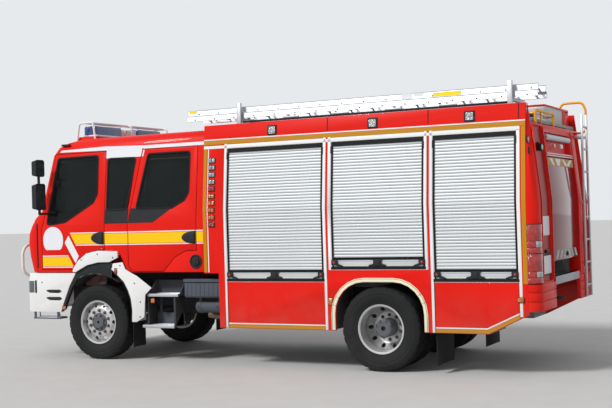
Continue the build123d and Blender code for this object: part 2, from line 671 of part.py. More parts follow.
# Body sides: leaning upper wall, three locker openings and the wheel arch
with BuildPart() as body_sides:
    body_wall((BODY_LOW, BODY_TOP), 0, BODY_WALL, (BODY_FRONT, BODY_SIDE_REAR))
    drill(rectangle((BODY_FRONT - 1, SKIRT_FRONT), (BODY_LOW - 1, SKIRT_TOP)), LEFT)
    tail_end = BODY_SIDE_REAR + 1
    drill(((TAIL_KINK_X - 2, BODY_LOW - 1), (tail_end, TAIL_LOW), (tail_end, BODY_LOW - 1)), LEFT)
    drill(arch(), LEFT)
    for front, rear_edge, low, top in SHUTTERS:
        x = (front - SHUTTER_FRAME, rear_edge + SHUTTER_FRAME)
        drill(rectangle(x, (low - SHUTTER_SILL, top + SHUTTER_HEAD)), LEFT)
    mirror(about=Plane.XZ)
save(body_sides, "body_sides")

# Aluminium frames of the roller shutters
with BuildPart() as shutter_frames:
    for front, rear_edge, low, top in SHUTTERS:
        x = (front - SHUTTER_FRAME, rear_edge + SHUTTER_FRAME)
        body_wall((low - SHUTTER_SILL, top + SHUTTER_HEAD), 0, BODY_WALL, x)
    for front, rear_edge, low, top in SHUTTERS:
        drill(rectangle((front, rear_edge), (low, top)), LEFT)
    mirror(about=Plane.XZ)
save(shutter_frames, "shutter_frames")

# Roller shutters: interlocking slats that follow the leaning wall, over a lock rail between two ribs
with BuildPart() as shutters:
    for front, rear_edge, low, top in SHUTTERS:
        slats_low = low + LOCK_RAIL_H
        count = int((top - slats_low) // SLAT)
        skin = skin_y(BODY_HALF, BODY_BEND, low)
        plate = skin + SHUTTER_DEPTH
        rib = skin + SLAT_STEP
        face = [
            (rib, low),
            (rib, low + LOCK_RIB),
            (plate, low + LOCK_RIB),
            (plate, slats_low - LOCK_RIB),
            (rib, slats_low - LOCK_RIB),
            (rib, slats_low),
        ]
        for slat in range(count):
            foot = slats_low + slat * SLAT
            head = foot + SLAT if slat < count - 1 else top
            face.append((skin_y(BODY_HALF, BODY_BEND, foot) + SHUTTER_DEPTH, foot + 0.5))
            face.append((skin_y(BODY_HALF, BODY_BEND, head) + SHUTTER_DEPTH + SLAT_STEP, head))
        inner = SHUTTER_DEPTH + SHUTTER_T
        back = [(skin_y(BODY_HALF, BODY_BEND, z) + inner, z) for z in (top, BODY_BEND, low)]
        with BuildSketch(across(front)):
            outline(face + back)
        extrude(amount=rear_edge - front)
    mirror(about=Plane.XZ)
save(shutters, "shutters")


def cab_form(inset, low, top):
    """Outer form of the cab, or the same drawn in by an inset."""
    sections = [row for row in CAB_SECTIONS if low < row[0] < top]
    for z, slot in ((low, 0), (top, len(sections) + 1)):
        below = max(row for row in CAB_SECTIONS if row[0] <= z)
        above = min(row for row in CAB_SECTIONS if row[0] >= z)
        share = (z - below[0]) / max(above[0] - below[0], 1)
        sections.insert(slot, tuple(a + share * (b - a) for a, b in zip(below, above)))
    with BuildPart() as form:
        for z, side_front, middle_front, corner, draw in sections:
            half = -skin_y(CAB_HALF, CAB_BEND, z) - inset - draw
            x_side = NOSE + side_front + inset
            x_middle = NOSE + middle_front + inset
            turn = half - corner
            shares = [cut / FRONT_CUTS for cut in range(FRONT_CUTS)]
            bow = [(x_middle + (x_side - x_middle) * share**2, turn * share) for share in shares]
            right = bow + quarter(x_side, half, corner, 1) + [(CAB_REAR - inset, half)]
            with BuildSketch(level(z)):
                outline([(x, -y) for x, y in reversed(right)] + right[1:])
        loft(ruled=True)
    return form.part


front_door_edge = (
    (FRONT_DOOR_X[0], 1240),
    (FRONT_DOOR_X[0], CAB_BEND - 50),
    (FRONT_DOOR_X[0] + 33, CAB_BEND + 50),
    (FRONT_DOOR_X[0] + 213, DOOR_TOP),
    (FRONT_DOOR_X[1], DOOR_TOP),
    (FRONT_DOOR_X[1], 1506),
    (86, 1506),
    (-115, 1472),
    (-268, 1370),
    (-362, 1240),
)
crew_door_edge = (
    (CREW_DOOR_X[0] + 60, 1214),
    (CREW_DOOR_X[0], 1290),
    (CREW_DOOR_X[0], CAB_BEND + 10),
    (CREW_DOOR_X[0] + 215, DOOR_TOP),
    (CREW_DOOR_X[1], DOOR_TOP),
    (CREW_DOOR_X[1], 1490),
    (1500, 1480),
    (1330, 1400),
    (1150, 1214),
)
front_window_edge = (
    (FRONT_DOOR_X[0] + 97, 1869),
    (-490, 1902),
    (-10, 2160),
    (FRONT_DOOR_X[1] - 131, 2275),
    (FRONT_DOOR_X[1] - 135, DOOR_TOP - 50),
    (FRONT_DOOR_X[0] + 263, DOOR_TOP - 60),
)
crew_window_edge = (
    (CREW_DOOR_X[0] + 133, 2051),
    (1290, 2051),
    (CREW_DOOR_X[1] - 186, 2150),
    (CREW_DOOR_X[1] - 124, 2249),
    (CREW_DOOR_X[1] - 116, DOOR_TOP - 67),
    (CREW_DOOR_X[0] + 310, DOOR_TOP - 69),
)
quarter_window_edge = (
    (FRONT_DOOR_X[1] + 42, 2047),
    (CREW_DOOR_X[0] - 40, 2047),
    (CREW_DOOR_X[0] + 105, DOOR_TOP - 108),
    (FRONT_DOOR_X[1] + 42, DOOR_TOP - 102),
)
screen_edge = (
    (-SCREEN_HALF, SCREEN_Z[0]),
    (SCREEN_HALF, SCREEN_Z[0]),
    (SCREEN_HALF - 90, SCREEN_Z[1]),
    (-SCREEN_HALF + 90, SCREEN_Z[1]),
)
well_edge = ((-330, 1200), (-115, 1300), (80, 1340), (449, 1441), (549, 1241), (641, 1199))

with BuildPart() as cab_hollow:
    add(cab_form(CAB_WALL, CAB_FLOOR + CAB_WALL, CAB_ROOF - ROOF_WALL))
    block(TUNNEL_X, (-TUNNEL_HALF, TUNNEL_HALF), (CAB_FLOOR, TUNNEL_TOP), Mode.SUBTRACT)
    for hand in (-1, 1):
        block((-450, 600), handed(hand, WELL_INNER_Y, CAB_HALF), (CAB_FLOOR, 1470), Mode.SUBTRACT)

with BuildPart() as cab_body:
    add(cab_form(0, CAB_FLOOR, CAB_ROOF))
    add(cab_hollow.part, mode=Mode.SUBTRACT)
    tunnel_x = (TUNNEL_X[0] + WELL_WALL, TUNNEL_X[1] - WELL_WALL)
    tunnel_y = TUNNEL_HALF - WELL_WALL
    block(tunnel_x, (-tunnel_y, tunnel_y), (CAB_FLOOR - 1, TUNNEL_TOP - WELL_WALL), Mode.SUBTRACT)
    for hand in (-1, 1):
        well_y = handed(hand, WELL_INNER_Y + WELL_WALL, CAB_HALF + 1)
        drill(((-400, 1190),) + well_edge + ((641, 1190),), well_y)
    for points in (front_door_edge, crew_door_edge):
        with BuildSketch(side()) as door_hole:
            outline(points)
            offset(amount=GAP, kind=Kind.INTERSECTION)
        extrude(door_hole.sketch, amount=CAB_HALF + 1, both=True, mode=Mode.SUBTRACT)
    with BuildSketch(side()) as quarter_hole:
        outline(quarter_window_edge, WINDOW_CORNER)
    extrude(quarter_hole.sketch, amount=CAB_HALF + 1, both=True, mode=Mode.SUBTRACT)
    with BuildSketch(across(NOSE)) as screen_hole:
        outline(screen_edge, 1.5 * WINDOW_CORNER)
    extrude(screen_hole.sketch, amount=925, mode=Mode.SUBTRACT)

# Cab shell behind the front panel, with the raised platform on its roof
panel_room = ((NOSE, PANEL_SPLIT_X), (-CAB_HALF - 1, CAB_HALF + 1), (CAB_FLOOR - 1, PANEL_TOP))
with BuildPart() as cab_shell:
    add(cab_body.part)
    block(*panel_room, Mode.SUBTRACT)
    foot = CAB_ROOF - CAB_WALL
    ramp = (PLATFORM_X[0] + 30, PLATFORM_TOP)
    slab(rectangle(PLATFORM_X, (foot, PLATFORM_TOP))[:3] + (ramp,), (-PLATFORM_HALF, PLATFORM_HALF))
save(cab_shell, "cab_shell")

# Front panel with its grille: five rows of slots between two ribs
with BuildPart() as front_panel:
    add(cab_body.part)
    block(*panel_room, Mode.INTERSECT)
    for slot in range(5):
        z = (1300 + 80 * slot, 1350 + 80 * slot)
        for y in ((-620, -220), (-200, 200), (220, 620)):
            block((NOSE, PANEL_SPLIT_X - 60), y, z, Mode.SUBTRACT)
save(front_panel, "front_panel")

# Windscreen and the fixed panes between the doors
with BuildPart() as quarter_pane:
    cab_wall((1900, DOOR_TOP + 50), 5, GLASS, (FRONT_DOOR_X[1] - 38, CREW_DOOR_X[0] + 165))
    add(extrude(quarter_hole.sketch, amount=CAB_HALF + 1, mode=Mode.PRIVATE), mode=Mode.INTERSECT)
with BuildPart() as cab_glass:
    glass_top = CAB_ROOF - 73
    add(cab_form(0, PANEL_TOP, glass_top))
    add(cab_form(GLASS, PANEL_TOP, glass_top), mode=Mode.SUBTRACT)
    add(extrude(screen_hole.sketch, amount=925, mode=Mode.PRIVATE), mode=Mode.INTERSECT)
    add(quarter_pane.part)
    add(quarter_pane.part.mirror(Plane.XZ))
save(cab_glass, "cab_glass")


def door(edge, window, name, hand):
    """One door: a skin flush with the cab, a smaller inner frame and a cut window with its pane."""
    heights, stations = (1100, DOOR_TOP + 60), (FRONT_DOOR_X[0] - 95, CREW_DOOR_X[1] + 74)
    with BuildPart() as inner:
        cab_wall(heights, DOOR_SKIN, CAB_WALL - DOOR_SKIN, stations)
        with BuildSketch(side()) as frame:
            outline(edge)
            offset(amount=-DOOR_LIP, kind=Kind.INTERSECTION)
        extrude(frame.sketch, amount=CAB_HALF + 100, mode=Mode.INTERSECT)
    with BuildPart() as leaf:
        cab_wall(heights, 0, DOOR_SKIN, stations)
        with BuildSketch(side()) as skin:
            outline(edge)
        extrude(skin.sketch, amount=CAB_HALF + 100, mode=Mode.INTERSECT)
        add(inner.part)
        drill(window, LEFT, WINDOW_CORNER)
    with BuildPart() as pane:
        cab_wall(heights, 12, GLASS, stations)
        with BuildSketch(side()) as cut:
            outline(window, WINDOW_CORNER)
        extrude(cut.sketch, amount=CAB_HALF + 100, mode=Mode.INTERSECT)
    for piece, label in ((leaf, f"door_{name}"), (pane, f"glass_{name}")):
        if hand > 0:
            with BuildPart() as turned_over:
                mirror(piece.part, about=Plane.XZ)
            save(turned_over, label)
        else:
            save(piece, label)


for hand, side_name in ((-1, "left"), (1, "right")):
    door(front_door_edge, front_window_edge, f"front_{side_name}", hand)
    door(crew_door_edge, crew_window_edge, f"crew_{side_name}", hand)

# Mirrors on arms from the front doors: a large one below a small one, each a shell that narrows forward
MIRROR_X = FRONT_DOOR_X[0] + 135
MIRROR_Y = -CAB_HALF - 150
MIRROR_ARM = 15
for hand, side_name in ((-1, "left"), (1, "right")):
    with BuildPart() as mirrors:
        # bottom, top, half width
        for low, top, half in ((2076, 2448, 100), (2540, 2780, 90)):
            middle = at(MIRROR_X, MIRROR_Y, (low + top) / 2)
            with BuildSketch(Plane(origin=middle, x_dir=(0, 1, 0), z_dir=(-1, 0, 0))) as back:
                Rectangle(2 * half, top - low)
                chamfer(back.vertices(), 25)
            extrude(back.sketch, amount=100, taper=12)
        arm_x = (MIRROR_X - 35 - MIRROR_ARM, MIRROR_X - 35 + MIRROR_ARM)
        arm_y = (MIRROR_Y - MIRROR_ARM, MIRROR_Y + MIRROR_ARM)
        block(arm_x, arm_y, (2430, 2560))
        block(arm_x, arm_y, (2010, 2100))
        block(arm_x, (arm_y[0], skin_y(CAB_HALF, CAB_BEND, 2010)), (2010, 2010 + 2 * MIRROR_ARM))
        if hand > 0:
            mirror(about=Plane.XZ, mode=Mode.REPLACE)
    save(mirrors, f"mirrors_{side_name}")

# Front mudguards: white caps on the cab, black flares under them, and white halves on the chassis
MUDGUARD_T = 12
with BuildPart() as front_mudguards:
    cap = ((-352, 1204), (-349, 1244), (-258, 1360), (-109, 1461), (86, 1496), (417, 1485), (417, 1400))
    slab(cap + ((271, 1340), (80, 1338), (-115, 1297), (-310, 1204)), (-CAB_HALF - 25, -CAB_HALF))
    flare = ((-426, 1022), (-316, 1194), (-316, 1206), (-115, 1300), (80, 1340), (290, 1397))
    flare += ((290, 1119), (150, 1165), (0, 1182), (-150, 1165), (-300, 1111))
    slab(flare, (5 - CAB_HALF, 35 - CAB_HALF))
    lining = ((291, 1241), (350, 1200), (496, 1070), (560, 960), (605, 843), (625, 690), (617, 531))
    back = ((630, 531), (638, 690), (618, 847), (572, 966), (507, 1079), (360, 1211), (299, 1252))
    slab(lining + back, (-CAB_HALF, -900))
    plate = ((300, 1235), (317, 1318), (480, 1335), (525, 1240), (640, 1180), (708, 1150), (945, 990))
    slab(plate + ((840, 900), (815, 600), (690, 531)) + lining[:0:-1], (-CAB_HALF, -CAB_HALF + MUDGUARD_T))
    block((596, 740), (-912, -RAIL_Y), (860, 900))
    mirror(about=Plane.XZ)
save(front_mudguards, "front_mudguards")

# Dashboard, column and steering wheel
WHEEL_CENTRE = at(-560, -560, 1960)
with BuildPart() as dashboard:
    slab(((-900, 1480), (-700, 1480), (-620, 1700), (-660, 1880), (-900, 1900)), (-1080, 1080))
    with BuildPart(mode=Mode.PRIVATE) as beam:
        add(cab_hollow.part)
        block((-1020, -900), (-CAB_HALF, CAB_HALF), (1500, 1860), Mode.INTERSECT)
    add(beam.part)
    tilt = Plane(origin=WHEEL_CENTRE, x_dir=(0, 1, 0), z_dir=(0.57, 0, 0.82))
    with BuildSketch(tilt) as steering_wheel:
        RegularPolygon(230, 20)
        RegularPolygon(200, 20, mode=Mode.SUBTRACT)
        RegularPolygon(60, 8)
        Rectangle(420, 40)
    extrude(steering_wheel.sketch, amount=30)
    with BuildSketch(tilt) as column:
        Rectangle(60, 60)
    extrude(column.sketch, amount=-200)
save(dashboard, "dashboard")

# Seats: driver, co-driver and the crew's bench
with BuildPart() as seats:
    for y in (-820, 320):
        block((-380, 120), (y, y + 500), (1520, 1650))
        slab(((60, 1650), (180, 1650), (330, 2350), (230, 2350)), (y, y + 500))
    block((1050, 1550), (-1000, 1000), (1500, 1630))
    block((1450, 1600), (-1000, 1000), (1630, 2300))
    block((1100, 1520), (-900, 900), (CAB_FLOOR + CAB_WALL, 1500))
    # pedestals on the floor and on the wheel wells
    for hand in (-1, 1):
        block((-300, 60), handed(hand, 400, 610), (CAB_FLOOR + CAB_WALL, 1520))
        block((-300, 60), handed(hand, 630, 760), (1470, 1520))
save(seats, "seats")

# Beacon bar on the platform: a base, two lenses and the speaker between, and a short bar at the rear
BEACON_X = (-430, -210)
REAR_BEACON = ((BODY_REAR - 240, BODY_REAR - 150), (-700, -170), (ROOF_DECK, ROOF_DECK + 90))
with BuildPart() as beacon_bar:
    lens_low = PLATFORM_TOP + 25
    lens_top = lens_low + 130
    block((BEACON_X[0] - 5, BEACON_X[1] + 5), (-800, 800), (PLATFORM_TOP, lens_low))
    crown = ((BEACON_X[1], lens_top - 40), (BEACON_X[1] - 40, lens_top), (BEACON_X[0] + 40, lens_top))
    lens = ((BEACON_X[0], lens_low), (BEACON_X[1], lens_low)) + crown + ((BEACON_X[0], lens_top - 40),)
    for y in ((-800, -190), (190, 800)):
        slab(lens, y)
    block((BEACON_X[0] + 10, BEACON_X[1] - 10), (-190, 190), (lens_low, lens_top - 20))
    block(*REAR_BEACON)
save(beacon_bar, "beacon_bar")

# White tube hoops over the beacon bar: two beside the platform, one on it, and two rails through them
with BuildPart() as beacon_hoops:
    for y in (-905, 905):
        hoop = ((-470, CAB_ROOF - 60), (-420, ROOF_HOOP_TOP), (-180, ROOF_HOOP_TOP), (-140, CAB_ROOF - 60))
        pipe([at(x, y, z) for x, z in hoop], HOOP_R, 60)
    hoop = ((-460, PLATFORM_TOP), (-460, ROOF_HOOP_TOP), (-170, ROOF_HOOP_TOP), (-170, PLATFORM_TOP))
    pipe([at(x, 0, z) for x, z in hoop], HOOP_R, 60)
    for x in (-350, -240):
        turned(x, 0, ROOF_HOOP_TOP, 1, ((-905, HOOP_R - 2), (905, HOOP_R - 2)), 8)
    add(cab_form(0, CAB_ROOF - 100, CAB_ROOF), mode=Mode.SUBTRACT)
save(beacon_hoops, "beacon_hoops")

# White tube guard ahead of the front panel, on stubs
with BuildPart() as front_guard:
    low, top = GUARD_Z
    for hand in (-1, 1):
        loop = ((0, low), (hand * GUARD_HALF, low), (hand * GUARD_HALF, top), (0, top))
        pipe([at(GUARD_X, y, z) for y, z in loop], GUARD_R, 150)
        stub = handed(hand, 700, 740)
        block((GUARD_X, BUMPER_STEP_X), stub, (low - 12, low + 12))
        block((GUARD_X, BUMPER_STEP_X + 80), stub, (top - 12, top + 12))
    add(cab_form(0, CAB_FLOOR, PANEL_TOP), mode=Mode.SUBTRACT)
save(front_guard, "front_guard")

# Body roof deck between the sides
with BuildPart() as body_roof:
    deck = [(skin_y(BODY_HALF, BODY_BEND, z) + BODY_WALL, z) for z in (deck_low, ROOF_DECK)]
    with BuildSketch(across(BODY_FRONT)):
        outline(deck + [(-y, z) for y, z in reversed(deck)])
    extrude(amount=BODY_SIDE_REAR - BODY_FRONT)
save(body_roof, "body_roof")


def body_form(inset, low, top):
    """Outer form of the body with its rounded rear corners, or the same drawn in."""
    turn = BODY_CORNER_R - min(inset, BODY_CORNER_R - 30)
    with BuildPart() as form:
        for z in (low, BODY_BEND, top):
            lean = LEAN * max(z - BODY_BEND, 0)
            width = BODY_HALF - inset - lean
            right = quarter(BODY_REAR - inset - lean, width, turn, -1) + [(TAIL_KINK_X, width)]
            with BuildSketch(level(z)):
                outline([(x, -y) for x, y in reversed(right)] + right)
        loft(ruled=True)
    return form.part


# Rear frame: rounded corner columns and the panels round the flap, with the ladder's slot,
# a sunk panel beside the left strip, a pocket for the roller and a notch at roof level
TAIL_X = (BODY_SIDE_REAR, REAR_X + 35)
SUNK_Y = (-1080, -665)
SUNK_Z = (BUMPER_TOP + 15, NOTCH_LOW - 30)
SUNK_DEPTH = 25
with BuildPart() as body_rear:
    add(body_form(0, BUMPER_TOP, BODY_TOP))
    block((TAIL_KINK_X - 1, BODY_SIDE_REAR), BOTH, (BUMPER_TOP - 1, BODY_TOP + 1), Mode.SUBTRACT)
    opening = FLAP_HALF + GAP
    block(TAIL_X, (-opening, opening), (BUMPER_TOP - 1, FLAP_Z[1] + GAP), Mode.SUBTRACT)
    block(TAIL_X, (-NOTCH_HALF, NOTCH_HALF), (NOTCH_LOW, BODY_TOP + 1), Mode.SUBTRACT)
    slot = (BODY_SIDE_REAR + 10, TAIL_X[1])
    block(slot, LADDER_SLOT_Y, (BUMPER_TOP + 60, SUNK_Z[1]), Mode.SUBTRACT)
    block(slot, (-POCKET_HALF, POCKET_HALF), POCKET_Z, Mode.SUBTRACT)
    with BuildPart(mode=Mode.PRIVATE) as sunk:
        add(body_form(-1, BUMPER_TOP - 1, BODY_TOP))
        add(body_form(SUNK_DEPTH, BUMPER_TOP - 1, BODY_TOP), mode=Mode.SUBTRACT)
        block(TAIL_X, SUNK_Y, SUNK_Z, Mode.INTERSECT)
    add(sunk.part, mode=Mode.SUBTRACT)
save(body_rear, "body_rear")

# Roller of the rear cover, across its pocket
with BuildPart() as rear_roller:
    turned(BODY_SIDE_REAR + 48, 0, POCKET_Z[1] - 55, 1, ((-POCKET_HALF, 36), (POCKET_HALF, 36)), 12)
save(rear_roller, "rear_roller")

# Rear flap, hinged at its top edge
with BuildPart() as rear_flap:
    add(body_form(0, FLAP_Z[0] - 10, FLAP_Z[1] + 10))
    add(body_form(BODY_WALL, FLAP_Z[0] - 10, FLAP_Z[1] + 10), mode=Mode.SUBTRACT)
    block((BODY_SIDE_REAR - 90, TAIL_X[1]), (-FLAP_HALF, FLAP_HALF), FLAP_Z, Mode.INTERSECT)
save(rear_flap, "rear_flap")

# Rear bumper corners in three ribbed bands, and the step between them
with BuildPart() as rear_bumper:
    for low, top, proud in (
        (TAIL_FOOT, 850, BUMPER_PROUD),
        (850, 850 + BUMPER_GROOVE, 0),
        (850 + BUMPER_GROOVE, 955, BUMPER_PROUD),
        (955, 955 + BUMPER_GROOVE, 0),
        (955 + BUMPER_GROOVE, BUMPER_TOP, BUMPER_PROUD),
    ):
        with BuildPart(mode=Mode.PRIVATE) as band:
            add(body_form(-proud, TAIL_FOOT, BODY_BEND + 100))
            add(body_form(BODY_WALL, TAIL_FOOT, BODY_BEND + 100), mode=Mode.SUBTRACT)
            block(TAIL_X, BOTH, (low, top), Mode.INTERSECT)
        add(band.part)
    block(TAIL_X, (-BUMPER_INNER, BUMPER_INNER), (TAIL_FOOT - 1, BUMPER_TOP + 1), Mode.SUBTRACT)
    step_x = (BODY_REAR - 70, BODY_REAR + 5)
    block(step_x, (-BUMPER_INNER, BUMPER_INNER), (BUMPER_TOP - 40, BUMPER_TOP + 50))
save(rear_bumper, "rear_bumper")

# Cream trims round the rear wheel arches
with BuildPart() as arch_trims:
    slab(arch(ARCH_TRIM), (-BODY_HALF - ARCH_TRIM_T, -BODY_HALF))
    drill(arch(), LEFT)
    trim_x = (ARCH_X[0] - 2 * ARCH_TRIM, ARCH_X[1] + 2 * ARCH_TRIM)
    block(trim_x, LEFT, (BODY_LOW - 2, BODY_LOW + TRIM_FOOT), Mode.SUBTRACT)
    mirror(about=Plane.XZ)
save(arch_trims, "arch_trims")

# Mudflaps behind the front and rear wheels
with BuildPart() as mudflaps:
    block((620, 628), (-CAB_HALF + 10, -910), (190, lining[-1][1]))
    block((ARCH_X[1] + 120, ARCH_X[1] + 130), (-INNER_Y + 10, -LOCKER_INNER_Y - 10), (100, BODY_LOW))
    mirror(about=Plane.XZ)
save(mudflaps, "mudflaps")

# Body lamps: a cluster round each rear corner, a column at the front and three along the coaming
LAMP_PROUD = 8
COLUMN_LAMPS = 10
COLUMN_PITCH = 92
with BuildPart() as body_lamps:
    add(body_form(-10, BUMPER_TOP, BODY_BEND + 100))
    add(body_form(0, BUMPER_TOP, BODY_BEND + 100), mode=Mode.SUBTRACT)
    cluster_y = (LEFT[0], 120 - BODY_HALF)
    block((BODY_SIDE_REAR, BODY_REAR - 5), cluster_y, (BUMPER_TOP + 5, BUMPER_TOP + 680), Mode.INTERSECT)
    for row in range(COLUMN_LAMPS):
        z = BODY_BEND + 640 - COLUMN_PITCH * row
        body_wall((z - 30, z + 30), -LAMP_PROUD, LAMP_PROUD, (BODY_FRONT + 85, BODY_FRONT + 185))
    for x in (SKIRT_FRONT + 735, WHEELBASE - 108, WHEELBASE + 1111):
        body_wall((BODY_TOP - 175, BODY_TOP - 55), -LAMP_PROUD, LAMP_PROUD, (x, x + 122))
    mirror(about=Plane.XZ)
save(body_lamps, "body_lamps")

# Pump in its bay, with four outlets
with BuildPart() as pump:
    block((BODY_REAR - 820, BODY_REAR - 400), (-420, 420), (FLOOR_TOP, 1750))
    for y in (-300, -100, 100, 300):
        turned(BODY_REAR - 400, y, 1300, 1, ((-10, 45), (120, 45)), 12, Axis.X)
save(pump, "pump")

# Tow eyes at the front bumper and under the rear step
TOW_PIN_R = 20
TOW_EYE_R = 48
TOW_PLATE = 30
FRONT_TOW = (BUMPER_FRONT - 50, 750)
REAR_TOW = (BODY_REAR - 80, 820)
with BuildPart() as tow_eyes:
    for (station, z), root in ((FRONT_TOW, BUMPER_FRONT), (REAR_TOW, RAIL_REAR)):
        block(sorted((station, root)), (-TOW_EYE_R, TOW_EYE_R), (z - TOW_PLATE, z))
        rod(station, 0, z - TOW_PLATE / 2, TOW_EYE_R, TOW_PLATE)
        rod(station, 0, z - TOW_PLATE / 2, TOW_PIN_R, TOW_PLATE + 2, mode=Mode.SUBTRACT)
save(tow_eyes, "tow_eyes")

# Two-section roof ladder
LADDER_X = (CAB_REAR - 350, BODY_REAR - 40)
LADDER_Y = (-960, -540)
LADDER_LOW = BODY_TOP + 85
LADDER_DEPTH = 75
RUNGS = 16
RUNG_PITCH = 300
with BuildPart() as roof_ladder:
    # height of the section's underside, inset of its rails
    for low, inset in ((LADDER_LOW, 0), (LADDER_LOW + LADDER_DEPTH, 35)):
        y = (LADDER_Y[0] + inset, LADDER_Y[1] - inset)
        block(LADDER_X, (y[0], y[0] + LADDER_RAIL), (low, low + LADDER_DEPTH))
        block(LADDER_X, (y[1] - LADDER_RAIL, y[1]), (low, low + LADDER_DEPTH))
        for rung in range(RUNGS):
            x = LADDER_X[0] + 120 + RUNG_PITCH * rung
            between = (y[0] + LADDER_RAIL, y[1] - LADDER_RAIL)
            block((x, x + LADDER_RAIL), between, (low + 22, low + 52))
save(roof_ladder, "roof_ladder")

# Gantries that carry the ladder over the roof
with BuildPart() as ladder_gantry:
    for x in ((SKIRT_FRONT + 195, SKIRT_FRONT + 255), (BODY_REAR - 380, BODY_REAR - 320)):
        for y in (LADDER_Y[0] - 50, LADDER_Y[1] + 10):
            block(x, (y, y + 40), (ROOF_DECK, BODY_TOP + 280))
        block(x, (LADDER_Y[0] - 10, LADDER_Y[1] + 10), (LADDER_LOW - 40, LADDER_LOW))
save(ladder_gantry, "ladder_gantry")

# Rear access ladder
with BuildPart() as rear_ladder:
    for y in (LADDER_SLOT_Y[0] - LADDER_RAIL, LADDER_SLOT_Y[1]):
        block((REAR_X - LADDER_RAIL, REAR_X), (y, y + LADDER_RAIL), (TAIL_FOOT + 5, BODY_TOP - 10))
        for z in (1120, 1960, 2800):
            block((BODY_SIDE_REAR + 10, REAR_X - LADDER_RAIL), (y, y + LADDER_RAIL), (z, z + 40))
    for rung in range(8):
        z = 900 + 290 * rung
        block((REAR_X - LADDER_RAIL, REAR_X), LADDER_SLOT_Y, (z, z + LADDER_RAIL))
    add(body_form(0, BUMPER_TOP + 10, BODY_TOP), mode=Mode.SUBTRACT)
save(rear_ladder, "rear_ladder")

# Chequer-plate locker on the roof
with BuildPart() as roof_locker:
    block((BODY_REAR - 520, BODY_REAR - 180), (-150, 980), (ROOF_DECK, BODY_TOP + 50))
save(roof_locker, "roof_locker")

# Yellow grab rail at the head of the rear ladder, and the guard across the rear of the roof
GRAB_Y = 1127
with BuildPart() as grab_rails:
    rail = ((-350, 0), (-290, 160), (-20, 160), (20, 60), (20, -240), (-160, -240))
    pipe([at(BODY_REAR + x, GRAB_Y, BODY_TOP + z) for x, z in rail], GRAB_R, 40)
    add(body_form(0, NOTCH_LOW - 100, BODY_TOP), mode=Mode.SUBTRACT)
    guard_x = BODY_SIDE_REAR + 22
    guard_top = NOTCH_LOW + 155
    guard = ((-840, NOTCH_LOW), (-840, guard_top), (-30, guard_top), (-30, NOTCH_LOW))
    pipe([at(guard_x, y, z) for y, z in guard], GRAB_R, 50)
save(grab_rails, "grab_rails")
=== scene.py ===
import json
import math

import bmesh
import bpy
from mathutils import Matrix, Vector
from mathutils.bvhtree import BVHTree
from mathutils.geometry import delaunay_2d_cdt

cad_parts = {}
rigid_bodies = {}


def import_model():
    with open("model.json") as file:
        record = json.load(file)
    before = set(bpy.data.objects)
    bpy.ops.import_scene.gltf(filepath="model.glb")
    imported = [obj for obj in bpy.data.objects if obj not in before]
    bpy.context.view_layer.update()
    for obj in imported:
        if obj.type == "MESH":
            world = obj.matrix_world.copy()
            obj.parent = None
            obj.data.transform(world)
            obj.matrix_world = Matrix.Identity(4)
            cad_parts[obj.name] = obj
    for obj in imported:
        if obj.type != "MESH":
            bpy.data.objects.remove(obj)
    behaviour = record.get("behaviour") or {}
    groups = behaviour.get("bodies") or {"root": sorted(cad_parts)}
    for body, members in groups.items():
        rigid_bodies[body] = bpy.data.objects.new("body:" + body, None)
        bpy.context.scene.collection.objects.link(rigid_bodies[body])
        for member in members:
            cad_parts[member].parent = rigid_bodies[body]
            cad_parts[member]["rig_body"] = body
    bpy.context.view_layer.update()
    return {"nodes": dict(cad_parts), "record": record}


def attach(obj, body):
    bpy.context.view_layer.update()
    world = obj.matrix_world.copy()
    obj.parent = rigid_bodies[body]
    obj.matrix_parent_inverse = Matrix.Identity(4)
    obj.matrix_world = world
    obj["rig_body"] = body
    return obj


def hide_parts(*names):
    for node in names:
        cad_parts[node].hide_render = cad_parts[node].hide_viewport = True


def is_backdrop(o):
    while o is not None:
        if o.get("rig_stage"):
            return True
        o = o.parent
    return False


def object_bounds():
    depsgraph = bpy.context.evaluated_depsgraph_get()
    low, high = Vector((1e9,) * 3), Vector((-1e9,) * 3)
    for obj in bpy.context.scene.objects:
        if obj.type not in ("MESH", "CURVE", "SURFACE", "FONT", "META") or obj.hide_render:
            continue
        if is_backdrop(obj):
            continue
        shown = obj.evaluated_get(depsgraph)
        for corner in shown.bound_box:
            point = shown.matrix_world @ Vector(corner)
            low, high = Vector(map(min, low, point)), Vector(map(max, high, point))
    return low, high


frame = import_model()

# Camera: off the truck's rear left corner and level with its windows, looking forward along the left
# side, with the lens length, turn and tilt that the photograph was taken with.
PHOTO_WIDTH_PX = 612
FOCAL_PX = 1098.53
CAMERA_PLACE = Vector((7.105, -13.273, 1.928))
CAMERA_YAW = math.radians(-27.265)
CAMERA_PITCH = math.radians(-0.465)
CAMERA_ROLL = math.radians(-1.723)

camera_data = bpy.data.cameras.new("camera")
camera_data.lens = FOCAL_PX / PHOTO_WIDTH_PX * camera_data.sensor_width
camera = bpy.data.objects.new("camera", camera_data)
bpy.context.scene.collection.objects.link(camera)
bpy.context.scene.camera = camera
look = Vector(
    (
        math.sin(CAMERA_YAW) * math.cos(CAMERA_PITCH),
        math.cos(CAMERA_YAW) * math.cos(CAMERA_PITCH),
        -math.sin(CAMERA_PITCH),
    )
)
level_right = Vector((math.cos(CAMERA_YAW), -math.sin(CAMERA_YAW), 0))
level_up = level_right.cross(look)
right = math.cos(CAMERA_ROLL) * level_right + math.sin(CAMERA_ROLL) * level_up
up = math.cos(CAMERA_ROLL) * level_up - math.sin(CAMERA_ROLL) * level_right
camera.matrix_world = Matrix.Translation(CAMERA_PLACE) @ Matrix((right, up, -look)).transposed().to_4x4()


